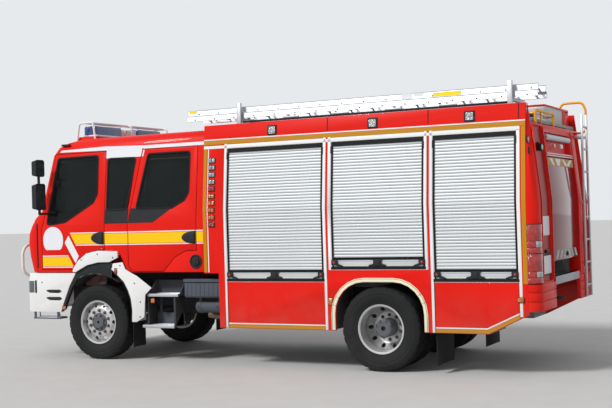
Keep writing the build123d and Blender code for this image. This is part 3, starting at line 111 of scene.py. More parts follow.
# Floor: a plain pale screed that runs out to the horizon, lit by one wide sun and a soft sky. Every
# finish below is written with these two classes: a value is a shader socket that can stand in a sum,
# and a finish is one material whose nodes are added by a single method.
class Value:
    """A socket of a finish that can stand in a sum."""

    def __init__(self, finish, socket):
        self.finish = finish
        self.socket = socket

    def __add__(self, other):
        return self.finish.sum("ADD", self, other)

    def __sub__(self, other):
        return self.finish.sum("SUBTRACT", self, other)

    def __mul__(self, other):
        return self.finish.sum("MULTIPLY", self, other)

    def __rsub__(self, other):
        return self.finish.sum("SUBTRACT", other, self)

    __radd__ = __add__
    __rmul__ = __mul__


class Finish:
    """One material in the making."""

    def __init__(self, name, tree=None):
        if tree is None:
            self.material = bpy.data.materials.new(name)
            self.material.use_nodes = True
            tree = self.material.node_tree
        self.tree = tree
        self.shader = tree.nodes.get("Principled BSDF")

    def node(self, kind, settings=None, values=None, out=0):
        """Adds a node: its settings first, then the values or links of its sockets."""
        made = self.tree.nodes.new(kind)
        for name, value in (settings or {}).items():
            setattr(made, name, value)
        for name, value in (values or {}).items():
            if isinstance(value, Value):
                self.tree.links.new(value.socket, made.inputs[name])
            else:
                made.inputs[name].default_value = value
        return Value(self, made.outputs[out])

    def sum(self, operation, a, b):
        return self.node("ShaderNodeMath", {"operation": operation}, {0: a, 1: b})

    def clamp(self, value, low=0.0, high=1.0):
        return self.node("ShaderNodeClamp", None, {"Value": value, "Min": low, "Max": high})

    def blend(self, factor, a, b):
        """Mixes two colours."""
        sockets = {0: factor, 6: a, 7: b}
        for slot in (6, 7):
            if not isinstance(sockets[slot], Value):
                sockets[slot] = (*sockets[slot][:3], 1)
        return self.node("ShaderNodeMix", {"data_type": "RGBA"}, sockets, out=2)

    def place(self):
        """The point on the piece, in metres in the truck's frame."""
        return self.node("ShaderNodeTexCoord", None, None, out=3)

    def axis(self, letter, place=None):
        return self.node("ShaderNodeSeparateXYZ", None, {0: place or self.place()}, out="XYZ".index(letter))

    def noise(self, scale, detail=3.0, roughness=0.5, place=None, stretch=None):
        place = place or self.place()
        if stretch:
            place = self.node("ShaderNodeVectorMath", {"operation": "MULTIPLY"}, {0: place, 1: stretch})
        values = {"Vector": place, "Scale": scale, "Detail": detail, "Roughness": roughness}
        return self.node("ShaderNodeTexNoise", None, values)

    def ramp(self, factor, low, high):
        """0 below low, 1 above high, straight between."""
        return self.node("ShaderNodeMapRange", None, {"Value": factor, "From Min": low, "From Max": high})

    def bump(self, height, distance, strength=1.0):
        values = {"Height": height, "Distance": distance, "Strength": strength}
        return self.node("ShaderNodeBump", None, values)

    def set(self, **sockets):
        """Sets the main shader's sockets, whose spaces are written as underscores."""
        for name, value in sockets.items():
            name = name.replace("_", " ")
            if isinstance(value, Value):
                self.tree.links.new(value.socket, self.shader.inputs[name])
            else:
                if name.endswith("Color") and len(value) == 3:
                    value = (*value, 1)
                self.shader.inputs[name].default_value = value


FLOOR_HALF = 120.0
screed = Finish("screed")
grain = screed.noise(2.5, 6.0)
screed.set(Base_Color=screed.blend(grain, (0.5, 0.5, 0.49), (0.58, 0.575, 0.56)), Roughness=0.85)
screed.set(Normal=screed.bump(screed.noise(90.0, 4.0), 0.002, 0.4))
floor_mesh = bpy.data.meshes.new("floor")
corners = [(x * FLOOR_HALF, y * FLOOR_HALF, 0) for x, y in ((-1, -1), (1, -1), (1, 1), (-1, 1))]
floor_mesh.from_pydata(corners, [], [(0, 1, 2, 3)])
floor_mesh.materials.append(screed.material)
floor = bpy.data.objects.new("floor", floor_mesh)
bpy.context.scene.collection.objects.link(floor)
floor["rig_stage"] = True

SKY_SEEN = (0.8, 0.82, 0.84)
SKY_LIGHT = 0.62
SUN_STRENGTH = 2.6
SUN_SPREAD = math.radians(14)
SUN_FROM = Vector((-0.55, -1.0, 0.95))
world = bpy.data.worlds.new("sky")
world.use_nodes = True
bpy.context.scene.world = world
sky = Finish("sky", world.node_tree)
rays = sky.tree.nodes.new("ShaderNodeLightPath")
seen = sky.clamp(
    Value(sky, rays.outputs["Is Camera Ray"])
    + Value(sky, rays.outputs["Is Glossy Ray"])
    + Value(sky, rays.outputs["Is Transmission Ray"])
)
background = world.node_tree.nodes["Background"]
background.inputs["Color"].default_value = (*SKY_SEEN, 1)
world.node_tree.links.new((seen * (1 - SKY_LIGHT) + SKY_LIGHT).socket, background.inputs["Strength"])
sun_data = bpy.data.lights.new("sun", "SUN")
sun_data.energy = SUN_STRENGTH
sun_data.angle = SUN_SPREAD
sun = bpy.data.objects.new("sun", sun_data)
sun.rotation_euler = SUN_FROM.to_track_quat("Z", "Y").to_euler()
bpy.context.scene.collection.objects.link(sun)
bpy.context.scene.view_settings.view_transform = "Standard"


# Red panels: the cab, its doors, the locker body's sides and its rear columns are steel and aluminium
# sheet in the same glossy red. Each is shown as its solid with the folded edges rounded off.
EDGE_ROUND = 0.006
WELD = 0.00005
FLAT = math.radians(1.0)
SMOOTH_DEG = 32
SHARP = math.radians(30)


def grime(finish, top, amount, low=0.3):
    """How much road dirt lies on a finish: most at the bottom, in patches, none above top."""
    patches = finish.ramp(finish.noise(3.2, 8.0, 0.62), 0.34, 0.74)
    fine = finish.ramp(finish.noise(40.0, 4.0, 0.6), 0.3, 0.75)
    low_down = 1 - finish.ramp(finish.axis("Z"), low, top)
    return finish.clamp(low_down * (patches * 0.75 + fine * 0.25) * amount)


def car_paint(name, colour, dirt=0.45, dirt_top=1.05, worn=0.0):
    """Gloss paint with a clear coat, a little uneven, with road dirt low down."""
    paint = Finish(name)
    film = grime(paint, dirt_top, dirt)
    shade = tuple(0.92 * part for part in colour)
    body = paint.blend(paint.noise(1.3, 4.0), shade, colour)
    if worn:
        chips = paint.ramp(paint.noise(70.0, 6.0, 0.7), 0.66, 0.7) * worn
        body = paint.blend(chips, body, (0.24, 0.23, 0.22))
    paint.set(
        Base_Color=paint.blend(film, body, (0.23, 0.19, 0.15)),
        Roughness=0.34 + 0.08 * paint.noise(24.0, 3.0) + 0.5 * film,
        Specular_IOR_Level=0.1,
        Coat_Weight=0.13 - 0.12 * film,
        Coat_Roughness=0.04,
        Normal=paint.bump(paint.noise(240.0, 1.0), 0.0004, 0.2),
    )
    return paint.material


red_paint = car_paint("red_paint", (0.74, 0.009, 0.003))


def shown(mesh, name, body, material, slot, smooth=SMOOTH_DEG):
    """Puts a mesh in the scene as a piece that rides on a body."""
    piece = bpy.data.objects.new(name, mesh)
    bpy.context.scene.collection.objects.link(piece)
    mesh.materials.clear()
    mesh.materials.append(material)
    mesh.shade_smooth()
    mesh.set_sharp_from_angle(angle=math.radians(smooth))
    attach(piece, body)
    return piece


def round_edges(work, width, segments=2):
    """Rounds off every sharp edge of a mesh in the making."""
    sharp = [edge for edge in work.edges if len(edge.link_faces) == 2 and edge.calc_face_angle(0) > SHARP]
    bmesh.ops.bevel(
        work,
        geom=sharp,
        offset=width,
        offset_type="OFFSET",
        segments=segments,
        profile=0.5,
        affect="EDGES",
        clamp_overlap=True,
    )


def slot_of(node):
    """The record's material slot of a node."""
    return next(row["material_slot"] for row in frame["record"]["subparts"] if row["node"] == node)


def coat_node(node, material):
    """Gives a finish to a node that shows its own solid."""
    solid = frame["nodes"][node].data
    solid.materials.clear()
    solid.materials.append(material)


def rounded_node(node, material, width=EDGE_ROUND, segments=2):
    """A node's own form with its sharp edges rounded, in place of the node."""
    work = bmesh.new()
    work.from_mesh(frame["nodes"][node].data)
    bmesh.ops.remove_doubles(work, verts=work.verts, dist=WELD)
    bmesh.ops.dissolve_limit(
        work, angle_limit=FLAT, verts=work.verts, edges=work.edges, delimit={"NORMAL"}
    )
    round_edges(work, width, segments)
    mesh = bpy.data.meshes.new(f"{node}_form")
    work.to_mesh(mesh)
    work.free()
    body = frame["nodes"][node]["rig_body"]
    piece = shown(mesh, f"{node}_form", body, material, slot_of(node))
    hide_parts(node)


DOORS = ("door_front_left", "door_front_right", "door_crew_left", "door_crew_right")
for node in ("cab_shell", "front_panel", "body_sides", "body_rear", "rear_bumper", *DOORS):
    rounded_node(node, red_paint)


# Chassis: black painted ladder frame, axles, leaf springs and engine. Their own solids are the shapes
# that show below the skirts, so they keep them, under thick paint that is grey with road dirt.
def dull_black(name, colour=(0.03, 0.031, 0.034), dirt=0.9, dirt_top=1.3, rough=0.5):
    """Chassis paint and moulded plastic: nearly black, matt, and browned by the road."""
    black = Finish(name)
    film = grime(black, dirt_top, dirt, low=0.1)
    grain = black.noise(180.0, 3.0, 0.6)
    lighter = tuple(1.5 * part for part in colour)
    black.set(
        Base_Color=black.blend(
            film, black.blend(black.noise(5.0, 5.0), colour, lighter), (0.11, 0.1, 0.085)
        ),
        Roughness=rough + 0.12 * grain + 0.25 * film,
        Specular_IOR_Level=0.11,
        Normal=black.bump(grain, 0.0006, 0.5),
    )
    return black.material


chassis_black = dull_black("chassis_black")
for node in (
    "frame_rails", "powertrain", "axles", "knuckle_left", "knuckle_right", "leaf_springs", "tow_eyes"
):
    coat_node(node, chassis_black)


# Every other piece is drawn by stations: x counts back from the front axle, y out from the middle, with
# the left side negative, and z up from the ground. The scene has its zero MID behind the front axle.
MID = 2.42
WELD_FINE = 0.00002


def rectangle(x0, x1, z0, z1):
    return [(x0, z0), (x1, z0), (x1, z1), (x0, z1)]


class Form:
    """A mesh in the making: rings, slabs, bars and turned parts, in one list of points and faces."""

    def __init__(self):
        self.points = []
        self.faces = []

    def skin(self, rings, closed=False):
        """Joins rings of equally many points, and caps the two ends unless they meet."""
        count, start = len(rings[0]), len(self.points)
        for ring in rings:
            self.points += [Vector(point) for point in ring]
        for i in range(len(rings) if closed else len(rings) - 1):
            near, far = start + i * count, start + (i + 1) % len(rings) * count
            for j in range(count):
                k = (j + 1) % count
                self.faces.append((near + j, near + k, far + k, far + j))
        if not closed:
            last = start + (len(rings) - 1) * count
            self.faces.append(tuple(range(start, start + count)))
            self.faces.append(tuple(range(last, last + count)))
        return self

    def slab(self, outline, low, high, across="Y"):
        """An outline pushed from low to high. Across Y it is (x, z), across X (y, z), across Z (x, y)."""
        order = {"X": (2, 0, 1), "Y": (0, 2, 1), "Z": (0, 1, 2)}[across]
        ends = [[(u, v, end) for u, v in outline] for end in (low, high)]
        return self.skin([[tuple(point[i] for i in order) for point in ring] for ring in ends])

    def block(self, x, y, z):
        return self.slab(rectangle(*x, *z), *y)

    def turned(self, rows, centre, steps=32, axis="Y"):
        """Rows of (place along the axis, radius), which close on themselves, turned about the axis."""
        rings = []
        for i in range(steps):
            c, s = math.cos(math.tau * i / steps), math.sin(math.tau * i / steps)
            rings.append([Vector(centre) + self.spread(axis, along, r * c, r * s) for along, r in rows])
        return self.skin(rings, closed=True)

    def pin(self, low, high, radius, centre, steps=12, axis="Y", hollow=0.0):
        """A round pin, or a tube that is hollow inside, from low to high along the axis."""
        return self.turned(
            ((low, hollow), (low, radius), (high, radius), (high, hollow)), centre, steps, axis
        )

    @staticmethod
    def spread(axis, along, u, v):
        return Vector({"X": (along, u, v), "Y": (u, along, v), "Z": (u, v, along)}[axis])

    def bar(self, path, radius, sides=10, closed=False, flat=1.0):
        """A bar along a path, mitred at its corners; flat squeezes it in its second direction."""
        path = [Vector(point) for point in path]
        rings = []
        side = None
        for i, point in enumerate(path):
            before = path[i - 1] if i or closed else None
            after = path[(i + 1) % len(path)] if i + 1 < len(path) or closed else None
            come = (point - before).normalized() if before else (after - point).normalized()
            go = (after - point).normalized() if after else come
            along = (come + go).normalized()
            if side is None:
                side = along.cross(Vector((0, 0, 1)))
                side = side if side.length > 0.1 else along.cross(Vector((0, 1, 0)))
            side = (side - along * side.dot(along)).normalized()
            other = along.cross(side)
            stretch = 1 / max(math.sqrt((1 + come.dot(go)) / 2), 0.5)
            bend = go - come
            ring = []
            for k in range(sides):
                turn = math.tau * k / sides
                out = side * math.cos(turn) * radius + other * math.sin(turn) * radius * flat
                if bend.length > 1e-6:
                    towards = bend.normalized()
                    out += towards * out.dot(towards) * (stretch - 1)
                ring.append(point + out)
            rings.append(ring)
        return self.skin(rings, closed=closed)

    def both(self):
        """The same again on the other side of the truck."""
        count = len(self.points)
        self.points += [Vector((x, -y, z)) for x, y, z in self.points]
        self.faces += [tuple(count + i for i in face) for face in self.faces]
        return self

    def on(self, sign):
        """Moves a form that was drawn on the right to the side of the sign."""
        self.points = [Vector((x, sign * y, z)) for x, y, z in self.points]
        return self


def made(form, name, body, material, slot, width=0.0, segments=2, smooth=SMOOTH_DEG):
    """Turns a form into a piece, with its corners rounded by width."""
    mesh = bpy.data.meshes.new(name)
    mesh.from_pydata([(x - MID, y, z) for x, y, z in form.points], [], form.faces)
    work = bmesh.new()
    work.from_mesh(mesh)
    bmesh.ops.remove_doubles(work, verts=work.verts, dist=WELD_FINE)
    bmesh.ops.recalc_face_normals(work, faces=work.faces)
    if width:
        round_edges(work, width, segments)
    work.to_mesh(mesh)
    work.free()
    return shown(mesh, name, body, material, slot, smooth)


def paired(form, name, *looks, **more):
    """A piece of the truck that is the same on both sides."""
    return made(form.both(), name, "truck", *looks, **more)


def arc(centre, radius, start, stop, steps):
    """Points of an arc in a plane, from one angle in degrees to another."""
    angles = [math.radians(start + (stop - start) * i / steps) for i in range(steps + 1)]
    return [(centre[0] + radius * math.cos(a), centre[1] + radius * math.sin(a)) for a in angles]


def curve(before, corner, after, radius, share, steps):
    """A corner rounded off to a radius, or as much of it as a share of its two sides allows."""
    corner = Vector(corner)
    ways = [Vector(before) - corner, Vector(after) - corner]
    spread = ways[0].angle(ways[1]) / 2
    reach = min(radius / math.tan(spread), share * ways[0].length, share * ways[1].length)
    ends = [corner + way.normalized() * reach for way in ways]
    points = []
    for k in range(steps + 1):
        t = k / steps
        points.append((1 - t) ** 2 * ends[0] + 2 * t * (1 - t) * corner + t * t * ends[1])
    return points


def eased(outline, radius, steps=4):
    """An outline with every corner rounded."""
    smooth = []
    for i, corner in enumerate(outline):
        smooth += curve(outline[i - 1], corner, outline[(i + 1) % len(outline)], radius, 0.45, steps)
    return [tuple(point) for point in smooth]


def grown(outline, by):
    """An outline moved outwards all round, its corners mitred."""
    area = sum(a[0] * b[1] - b[0] * a[1] for a, b in zip(outline, outline[1:] + outline[:1]))
    by = by if area > 0 else -by
    wider = []
    for i, corner in enumerate(outline):
        come = (Vector(corner) - Vector(outline[i - 1])).normalized()
        go = (Vector(outline[(i + 1) % len(outline)]) - Vector(corner)).normalized()
        normals = Vector((come.y, -come.x)), Vector((go.y, -go.x))
        mitre = normals[0] + normals[1]
        wider.append(tuple(Vector(corner) + mitre * by * 2 / mitre.length_squared))
    return wider


# Tyres: black rubber with a steel belt, moulded with four rain grooves, shoulder cuts and rings on the
# sidewall. They are turned from the section of a road tyre, and their walls are grey with dust.
TYRE_STEPS = 160
TREAD_CUT = 0.013
TYRE_SECTION = (
    (0.114, 0.29), (0.122, 0.294), (0.125, 0.302), (0.123, 0.312), (0.131, 0.33), (0.1395, 0.352),
    (0.143, 0.368), (0.1455, 0.384), (0.147, 0.4), (0.147, 0.404), (0.145, 0.408), (0.145, 0.418),
    (0.1465, 0.422), (0.1455, 0.438), (0.142, 0.452), (0.14, 0.456), (0.137, 0.474), (0.13, 0.49),
    (0.1225, 0.5), (0.117, 0.506), (0.101, 0.5085), (0.086, 0.5095), (0.084, 0.5095), (0.074, 0.5095),
    (0.072, 0.5095), (0.04, 0.51), (0.037, 0.51), (0.026, 0.51), (0.023, 0.51),
)
GROOVES = (23, 27)
SHOULDER = range(16, 22)
CROWN = 28
rubber = Finish("tyre_rubber")
film = grime(rubber, 1.4, 0.7, low=-0.4)
streaks = rubber.noise(30.0, 4.0, 0.6)
rubber.set(
    Base_Color=rubber.blend(film * (0.4 + 0.6 * streaks), (0.014, 0.015, 0.016), (0.062, 0.058, 0.052)),
    Roughness=0.62 + 0.2 * streaks,
    Specular_IOR_Level=0.12,
    Normal=rubber.bump(rubber.noise(300.0, 3.0), 0.0005, 0.5),
)


def tyre(form, centre):
    """One tyre about a centre, its shoulders cut across at every fifth step."""
    count = len(TYRE_SECTION)
    rows = [(k, -1) for k in range(count)] + [(k, 1) for k in reversed(range(count))]
    rings = []
    for i in range(TYRE_STEPS):
        c, s = math.cos(math.tau * i / TYRE_STEPS), math.sin(math.tau * i / TYRE_STEPS)
        ring = []
        for k, side in rows:
            out, r = TYRE_SECTION[k]
            if k in GROOVES or (k == CROWN and i % 10 == 3 and side > 0):
                r -= TREAD_CUT
            elif k in SHOULDER and i % 5 == 0:
                r -= TREAD_CUT * 0.7
            ring.append((centre[0] + r * c, centre[1] + side * out, centre[2] + r * s))
        rings.append(ring)
    return form.skin(rings, closed=True)


HANDS = {"left": -1, "right": 1}
FRONT_HUB = (0.0, 1.018, 0.51)
REAR_HUB = (4.26, 1.08, 0.51)
INNER_HUB = (4.26, 0.745, 0.51)
for hand, sign in HANDS.items():
    single = tyre(Form(), FRONT_HUB).on(sign)
    body = f"wheel_front_{hand}"
    front = made(single, f"tyre_front_{hand}_rubber", body, rubber.material, "tyre", smooth=40)
    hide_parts(f"tyre_front_{hand}")
    twins = tyre(Form(), REAR_HUB)
    tyre(twins, INNER_HUB).on(sign)
    body = f"wheels_rear_{hand}"
    rear = made(twins, f"tyres_rear_{hand}_rubber", body, rubber.material, "tyre", smooth=40)
    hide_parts(f"tyres_rear_{hand}")


# Wheels: pressed steel, painted silver, with ten hand holes and ten nuts round a cast hub. The front
# disc is domed outwards; the rear pair is dished in, and shows its hub and drum deep inside.
silver = Finish("wheel_silver")
film = grime(silver, 1.0, 0.5, low=0.0)
clean = silver.blend(silver.noise(9.0, 5.0), (0.52, 0.52, 0.52), (0.66, 0.66, 0.66))
silver.set(
    Base_Color=silver.blend(film, clean, (0.16, 0.13, 0.1)),
    Metallic=0.55 - 0.5 * film,
    Roughness=0.3 + 0.4 * film + 0.08 * silver.noise(60.0, 3.0),
    Normal=silver.bump(silver.noise(200.0, 2.0), 0.0004, 0.3),
)
hub_grey = dull_black("hub_grey", (0.085, 0.092, 0.105), dirt=0.8, dirt_top=0.9, rough=0.42)
nut_steel = dull_black("nut_steel", (0.1, 0.1, 0.105), dirt=0.6, dirt_top=0.9, rough=0.35)
TWIN = 0.336
NUTS = 10
NUT_CIRCLE_R = 0.158
HOLE_CIRCLE_R = 0.232
HOLE_R = 0.027
HOLE_EDGE = 0.004
DISC_WALL = 0.01
BARREL = (
    (-0.12, 0.29), (-0.12, 0.3), (-0.126, 0.3), (-0.126, 0.278), (-0.09, 0.276), (-0.06, 0.262),
    (0.02, 0.262), (0.07, 0.272), (0.116, 0.276), (0.118, 0.286), (0.124, 0.29), (0.1255, 0.298),
    (0.122, 0.3), (0.118, 0.299), (0.117, 0.29), (0.09, 0.284), (0.05, 0.28), (0.02, 0.272), (-0.09, 0.286),
)
FRONT_DISC = (
    (0.1, 0.092), (0.1905, 0.092), (0.2, 0.09), (0.21, 0.082), (0.25, 0.06), (0.262, 0.048), (0.272, 0.022)
)
REAR_DISC = (
    (0.105, -0.15), (0.18, -0.15), (0.195, -0.144), (0.215, -0.128), (0.255, -0.095), (0.266, -0.08),
    (0.274, -0.052),
)


FRONT_CAP = (
    (0.06, 0.02), (0.06, 0.124), (0.098, 0.124), (0.104, 0.118), (0.104, 0.108), (0.11, 0.092),
    (0.12, 0.088), (0.126, 0.08), (0.1275, 0.06), (0.124, 0.055), (0.124, 0.02),
)
REAR_CAP = (
    (-0.19, 0.03), (-0.19, 0.112), (-0.12, 0.112), (-0.06, 0.108), (-0.02, 0.106), (0.02, 0.104),
    (0.024, 0.112), (0.036, 0.112), (0.042, 0.106), (0.05, 0.096), (0.0535, 0.086), (0.05, 0.07),
    (0.05, 0.03),
)


def circle(centre, radius, count):
    """So many points round a circle."""
    return arc(centre, radius, 0, 360 - 360 / count, count - 1)


def disc(form, centre, profile):
    """A pressed wheel disc: rings that follow its profile of (radius, out), with round hand holes."""
    turns = [math.tau * i / NUTS for i in range(NUTS)]
    holes = [(HOLE_CIRCLE_R * math.cos(turn), HOLE_CIRCLE_R * math.sin(turn)) for turn in turns]
    clear = HOLE_CIRCLE_R - HOLE_R - HOLE_EDGE, HOLE_CIRCLE_R + HOLE_R + HOLE_EDGE
    radii = [r for r, _ in profile if not clear[0] < r < clear[1]] + [clear[0]]
    rings = [circle((0, 0), r, 80) for r in radii] + [circle(hole, HOLE_R, 24) for hole in holes]
    points, edges = [], []
    for ring in rings:
        start, count = len(points), len(ring)
        points += [Vector(point) for point in ring]
        edges += [(start + i, start + (i + 1) % count) for i in range(count)]
    flat, _, faces, *_ = delaunay_2d_cdt(points, edges, [], 0, 1e-6)

    def out_at(r):
        for (r0, out0), (r1, out1) in zip(profile, profile[1:]):
            if r <= r1:
                return out0 + (out1 - out0) * (r - r0) / (r1 - r0)
        return profile[-1][1]

    kept = []
    for face in faces:
        middle = sum((flat[i] for i in face), Vector((0, 0))) / len(face)
        near = min((middle - Vector(hole)).length for hole in holes)
        if middle.length > profile[0][0] * 0.99 and near > HOLE_R * 0.98:
            kept.append(face)
    base, count = len(form.points), len(flat)
    for shift in (0, -DISC_WALL):
        for point in flat:
            out = out_at(point.length) + shift
            form.points.append(Vector((centre[0] + point.x, centre[1] + out, centre[2] + point.y)))
    rims = {}
    for face in kept:
        form.faces.append(tuple(base + i for i in face))
        form.faces.append(tuple(base + count + i for i in reversed(face)))
        rims.update(dict.fromkeys(zip(face, face[1:] + face[:1])))
    for a, b in rims:
        if (b, a) not in rims:
            form.faces.append((base + b, base + a, base + count + a, base + count + b))
    return form


def ring_of_nuts(form, centre, face, radius=NUT_CIRCLE_R, size=0.0165, count=NUTS, start=0.5):
    """Hexagon nuts with a washer and a stud end, standing on a face out along the axle."""
    for i in range(count):
        turn = math.tau * (i + start) / count
        at = Vector(centre) + Vector((radius * math.cos(turn), 0, radius * math.sin(turn)))
        form.pin(face - 0.002, face + 0.004, size + 0.005, at, 16)
        nut = ((0, 0), (0, size), (0.02, size), (0.023, size - 0.004), (0.023, 0))
        stud = ((0, 0), (0, 0.01), (0.032, 0.01), (0.034, 0.007), (0.034, 0))
        form.turned([(face + out, r) for out, r in nut], at, 6)
        form.turned([(face + out, r) for out, r in stud], at, 12)
    return form


for hand, sign in HANDS.items():
    body = f"wheel_front_{hand}"
    rim = disc(Form(), FRONT_HUB, FRONT_DISC)
    rim.turned(BARREL, FRONT_HUB, 96)
    front = made(rim.on(sign), f"{body}_rim", body, silver.material, "wheel_paint")
    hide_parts(f"wheel_front_{hand}")
    cap = Form().turned(FRONT_CAP, FRONT_HUB, 48)
    ring_of_nuts(cap, FRONT_HUB, 0.106, 0.098, 0.0065, 8)
    nuts = ring_of_nuts(Form(), FRONT_HUB, 0.092, size=0.0185)
    made(nuts.on(sign), f"{body}_nuts", body, nut_steel, "wheel_paint")
    made(cap.on(sign), f"{body}_hub", body, hub_grey, "wheel_paint")
    body = f"wheels_rear_{hand}"
    rims = Form()
    for hub, flip in ((REAR_HUB, 1), (INNER_HUB, -1)):
        rims.turned([(flip * out, r) for out, r in BARREL], hub, 96)
    disc(rims, REAR_HUB, REAR_DISC)
    disc(rims, REAR_HUB, [(r, -TWIN - out) for r, out in REAR_DISC])
    rear = made(rims.on(sign), f"{body}_rims", body, silver.material, "wheel_paint")
    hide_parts(f"wheels_rear_{hand}")
    hub = Form().turned(REAR_CAP, REAR_HUB, 48)
    ring_of_nuts(hub, REAR_HUB, -0.15, 0.15)
    ring_of_nuts(hub, REAR_HUB, 0.036, 0.098, 0.0065, 8)
    made(hub.on(sign), f"{body}_hub", body, hub_grey, "wheel_paint")


# Front bumper and guard: one thick moulded shell in white, dark in its joints, with a guard of bent
# white tube before the grille, and hoops of thinner tube over the light bar.
white_paint = car_paint("white_paint", (0.8, 0.8, 0.79), dirt=0.4, dirt_top=1.1, worn=0.5)
rounded_node("front_bumper", white_paint, 0.014, 3)
plastic = dull_black("black_plastic", (0.02, 0.021, 0.023), dirt=0.35, dirt_top=1.2, rough=0.45)
bumper_trim = Form()
bumper_trim.block((-1.2195, -1.2085), (1.072, 1.128), (0.655, 0.882))
bumper_trim.block((-1.228, -1.205), (0.64, 0.89), (1.088, 1.096))
bumper_trim.block((-1.11, -1.088), (0.64, 0.885), (1.1935, 1.1962))
bumper_trim.block((-1.128, -1.07), (0.885, 0.905), (1.193, 1.1965))
bumper_trim.slab(eased(rectangle(-1.06, -1.025, 0.91, 1.088), 0.006), 1.193, 1.1968)
for low, high, x0, x1 in ((0.915, 0.958, -0.868, -0.59), (0.812, 0.856, -0.872, -0.572)):
    scoop = [(x0, high - 0.01), (x0 + 0.06, high), (x1 - 0.05, high), (x1, high - 0.012)]
    scoop += [(x1 - 0.07, low), (x0 + 0.08, low)]
    bumper_trim.slab(eased(scoop, 0.012), 1.172, 1.1958)
bumper_trim.pin(0.0, 0.0012, 0.011, (-0.93, 1.195, 1.06), 16)
paired(bumper_trim, "bumper_joints", plastic, "trim", 0.001)
corner_glass = Form()
CORNER_CENTRE = (-1.11, 1.065)
outer = [*arc(CORNER_CENTRE, 0.1315, 168, 90, 13), (-1.072, 1.1965), (-1.072, 1.19)]
corner_glass.slab(outer + arc(CORNER_CENTRE, 0.124, 90, 168, 13), 0.915, 1.08, "Z")

GUARD_X = -1.403
GUARD_BEND = 0.15
GUARD_TOP = 1.585
GUARD_FOOT = 1.14
GUARD_SIDE = 1.045
GUARD_TUBE = 0.0215
bends = arc((GUARD_SIDE - GUARD_BEND, GUARD_TOP - GUARD_BEND), GUARD_BEND, 90, 0, 10)
bends += arc((GUARD_SIDE - GUARD_BEND, GUARD_FOOT + GUARD_BEND), GUARD_BEND, 0, -90, 10)
loop = [(0.0, GUARD_TOP), *bends, (0.0, GUARD_FOOT)]
guard = Form().bar([(GUARD_X, y, z) for y, z in loop], GUARD_TUBE, 14)
for y in (0.36, 0.72):
    guard.bar([(GUARD_X, y, 1.575), (GUARD_X, y, 1.15)], 0.014, 10)
    guard.bar([(GUARD_X, y, 1.15), (-1.29, y, 1.15), (-1.262, y, 1.13)], 0.018, 10)
guard.both()
guard = made(guard, "front_guard_tube", "truck", white_paint, "white_paint")
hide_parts("front_guard")

HOOP_TOP = 3.29
HOOP_Y = 0.905
OUTER_FEET = ((-0.47, 3.003), (-0.14, 3.003))
MIDDLE_FEET = ((-0.455, 3.098), (-0.168, 3.098))


def bent(path, radius, steps=6):
    """A path with every inner corner rounded."""
    smooth = [Vector(path[0])]
    for before, corner, after in zip(path, path[1:], path[2:]):
        smooth += curve(before, corner, after, radius, 0.48, steps)
    return smooth + [Vector(path[-1])]


hoops = Form()
for y, (front, back) in ((-HOOP_Y, OUTER_FEET), (0.0, MIDDLE_FEET), (HOOP_Y, OUTER_FEET)):
    path = [front, (-0.42, HOOP_TOP), (-0.18, HOOP_TOP), back]
    hoops.bar(bent([(x, y, z) for x, z in path], 0.045), 0.0145, 10)
for x in (-0.35, -0.24):
    hoops.bar([(x, -HOOP_Y, HOOP_TOP), (x, HOOP_Y, HOOP_TOP)], 0.0125, 10)
hoops = made(hoops, "beacon_hoops_tube", "truck", white_paint, "white_paint")
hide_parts("beacon_hoops")


# Lamps: each has a moulded black case, a bright facetted reflector and a clear or coloured plastic
# lens with fine ribs. Headlamps sit in the bumper; the light bar has two long blue lenses.
def lens(name, colour, ribs=420.0):
    """Clear or coloured lamp plastic over a bright ribbed reflector, whose glints are painted into its
    colour in patches and along the ribs.
    """
    cover = Finish(name)
    place = cover.place()
    height = cover.axis("Z", place) * ribs
    across = (cover.axis("X", place) + cover.axis("Y", place)) * ribs
    ribbed = cover.sum("SINE", height, 0.0) * cover.sum("SINE", across, 0.0)
    sparkle = cover.noise(28.0, 2.0, 0.5)
    # Painted glints: the lens colour is full in bright noise patches and along the ribs, and dimmed to a
    # third of it elsewhere.
    painted_glints = cover.ramp(sparkle + 0.25 * ribbed, 0.25, 0.75)
    cover.set(
        Base_Color=cover.blend(painted_glints, tuple(0.35 * part for part in colour), colour),
        Roughness=0.1,
        Coat_Weight=1.0,
        Normal=cover.bump(ribbed, 0.0015, 0.6),
    )
    return cover.material


clear_lens = lens("clear_lens", (0.62, 0.64, 0.66))
grey_lens = lens("grey_lens", (0.42, 0.44, 0.46))
smoke_lens = lens("smoke_lens", (0.1, 0.12, 0.14))
amber_lens = lens("amber_lens", (0.85, 0.2, 0.01))
red_lens = lens("red_lens", (0.55, 0.012, 0.01))
blue_lens = lens("blue_lens", (0.012, 0.06, 0.34), ribs=200.0)
chrome = Finish("reflector")
facets = chrome.node("ShaderNodeTexVoronoi", None, {"Vector": chrome.place(), "Scale": 60.0})
chrome.set(
    Base_Color=(0.8, 0.81, 0.82),
    Metallic=1.0,
    Roughness=0.12 + 0.1 * chrome.noise(40.0, 3.0),
    Normal=chrome.bump(facets, 0.004, 0.6),
)

LAMP_Z = 0.995
cases, shells, glints, ambers = Form(), Form(), Form(), Form()
cases.slab(eased(rectangle(0.705, 1.038, 0.918, 1.072), 0.02), -1.222, -1.168, "X")
for y, r in ((0.785, 0.062), (0.925, 0.05)):
    bowl = [(-0.046, r * 0.3), (-0.002, r), (0.006, r + 0.006), (0.008, r + 0.006), (0.004, r)]
    glints.turned(bowl + [(-0.04, 0.0), (-0.046, 0.0)], (-1.226, y, LAMP_Z), axis="X")
    bulge = [(-0.01, 0.0), (-0.008, r * 0.6), (-0.002, r), (0.0, r), (-0.006, 0.6 * r), (-0.007, 0.0)]
    shells.turned(bulge, (-1.23, y, LAMP_Z), axis="X")
ambers.slab(eased(rectangle(0.985, 1.03, 0.93, 1.06), 0.012), -1.228, -1.222, "X")
cases = paired(cases, "headlamp_cases", plastic, "glass", 0.004)
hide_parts("headlamps")
paired(glints, "headlamp_reflectors", chrome.material, "glass")
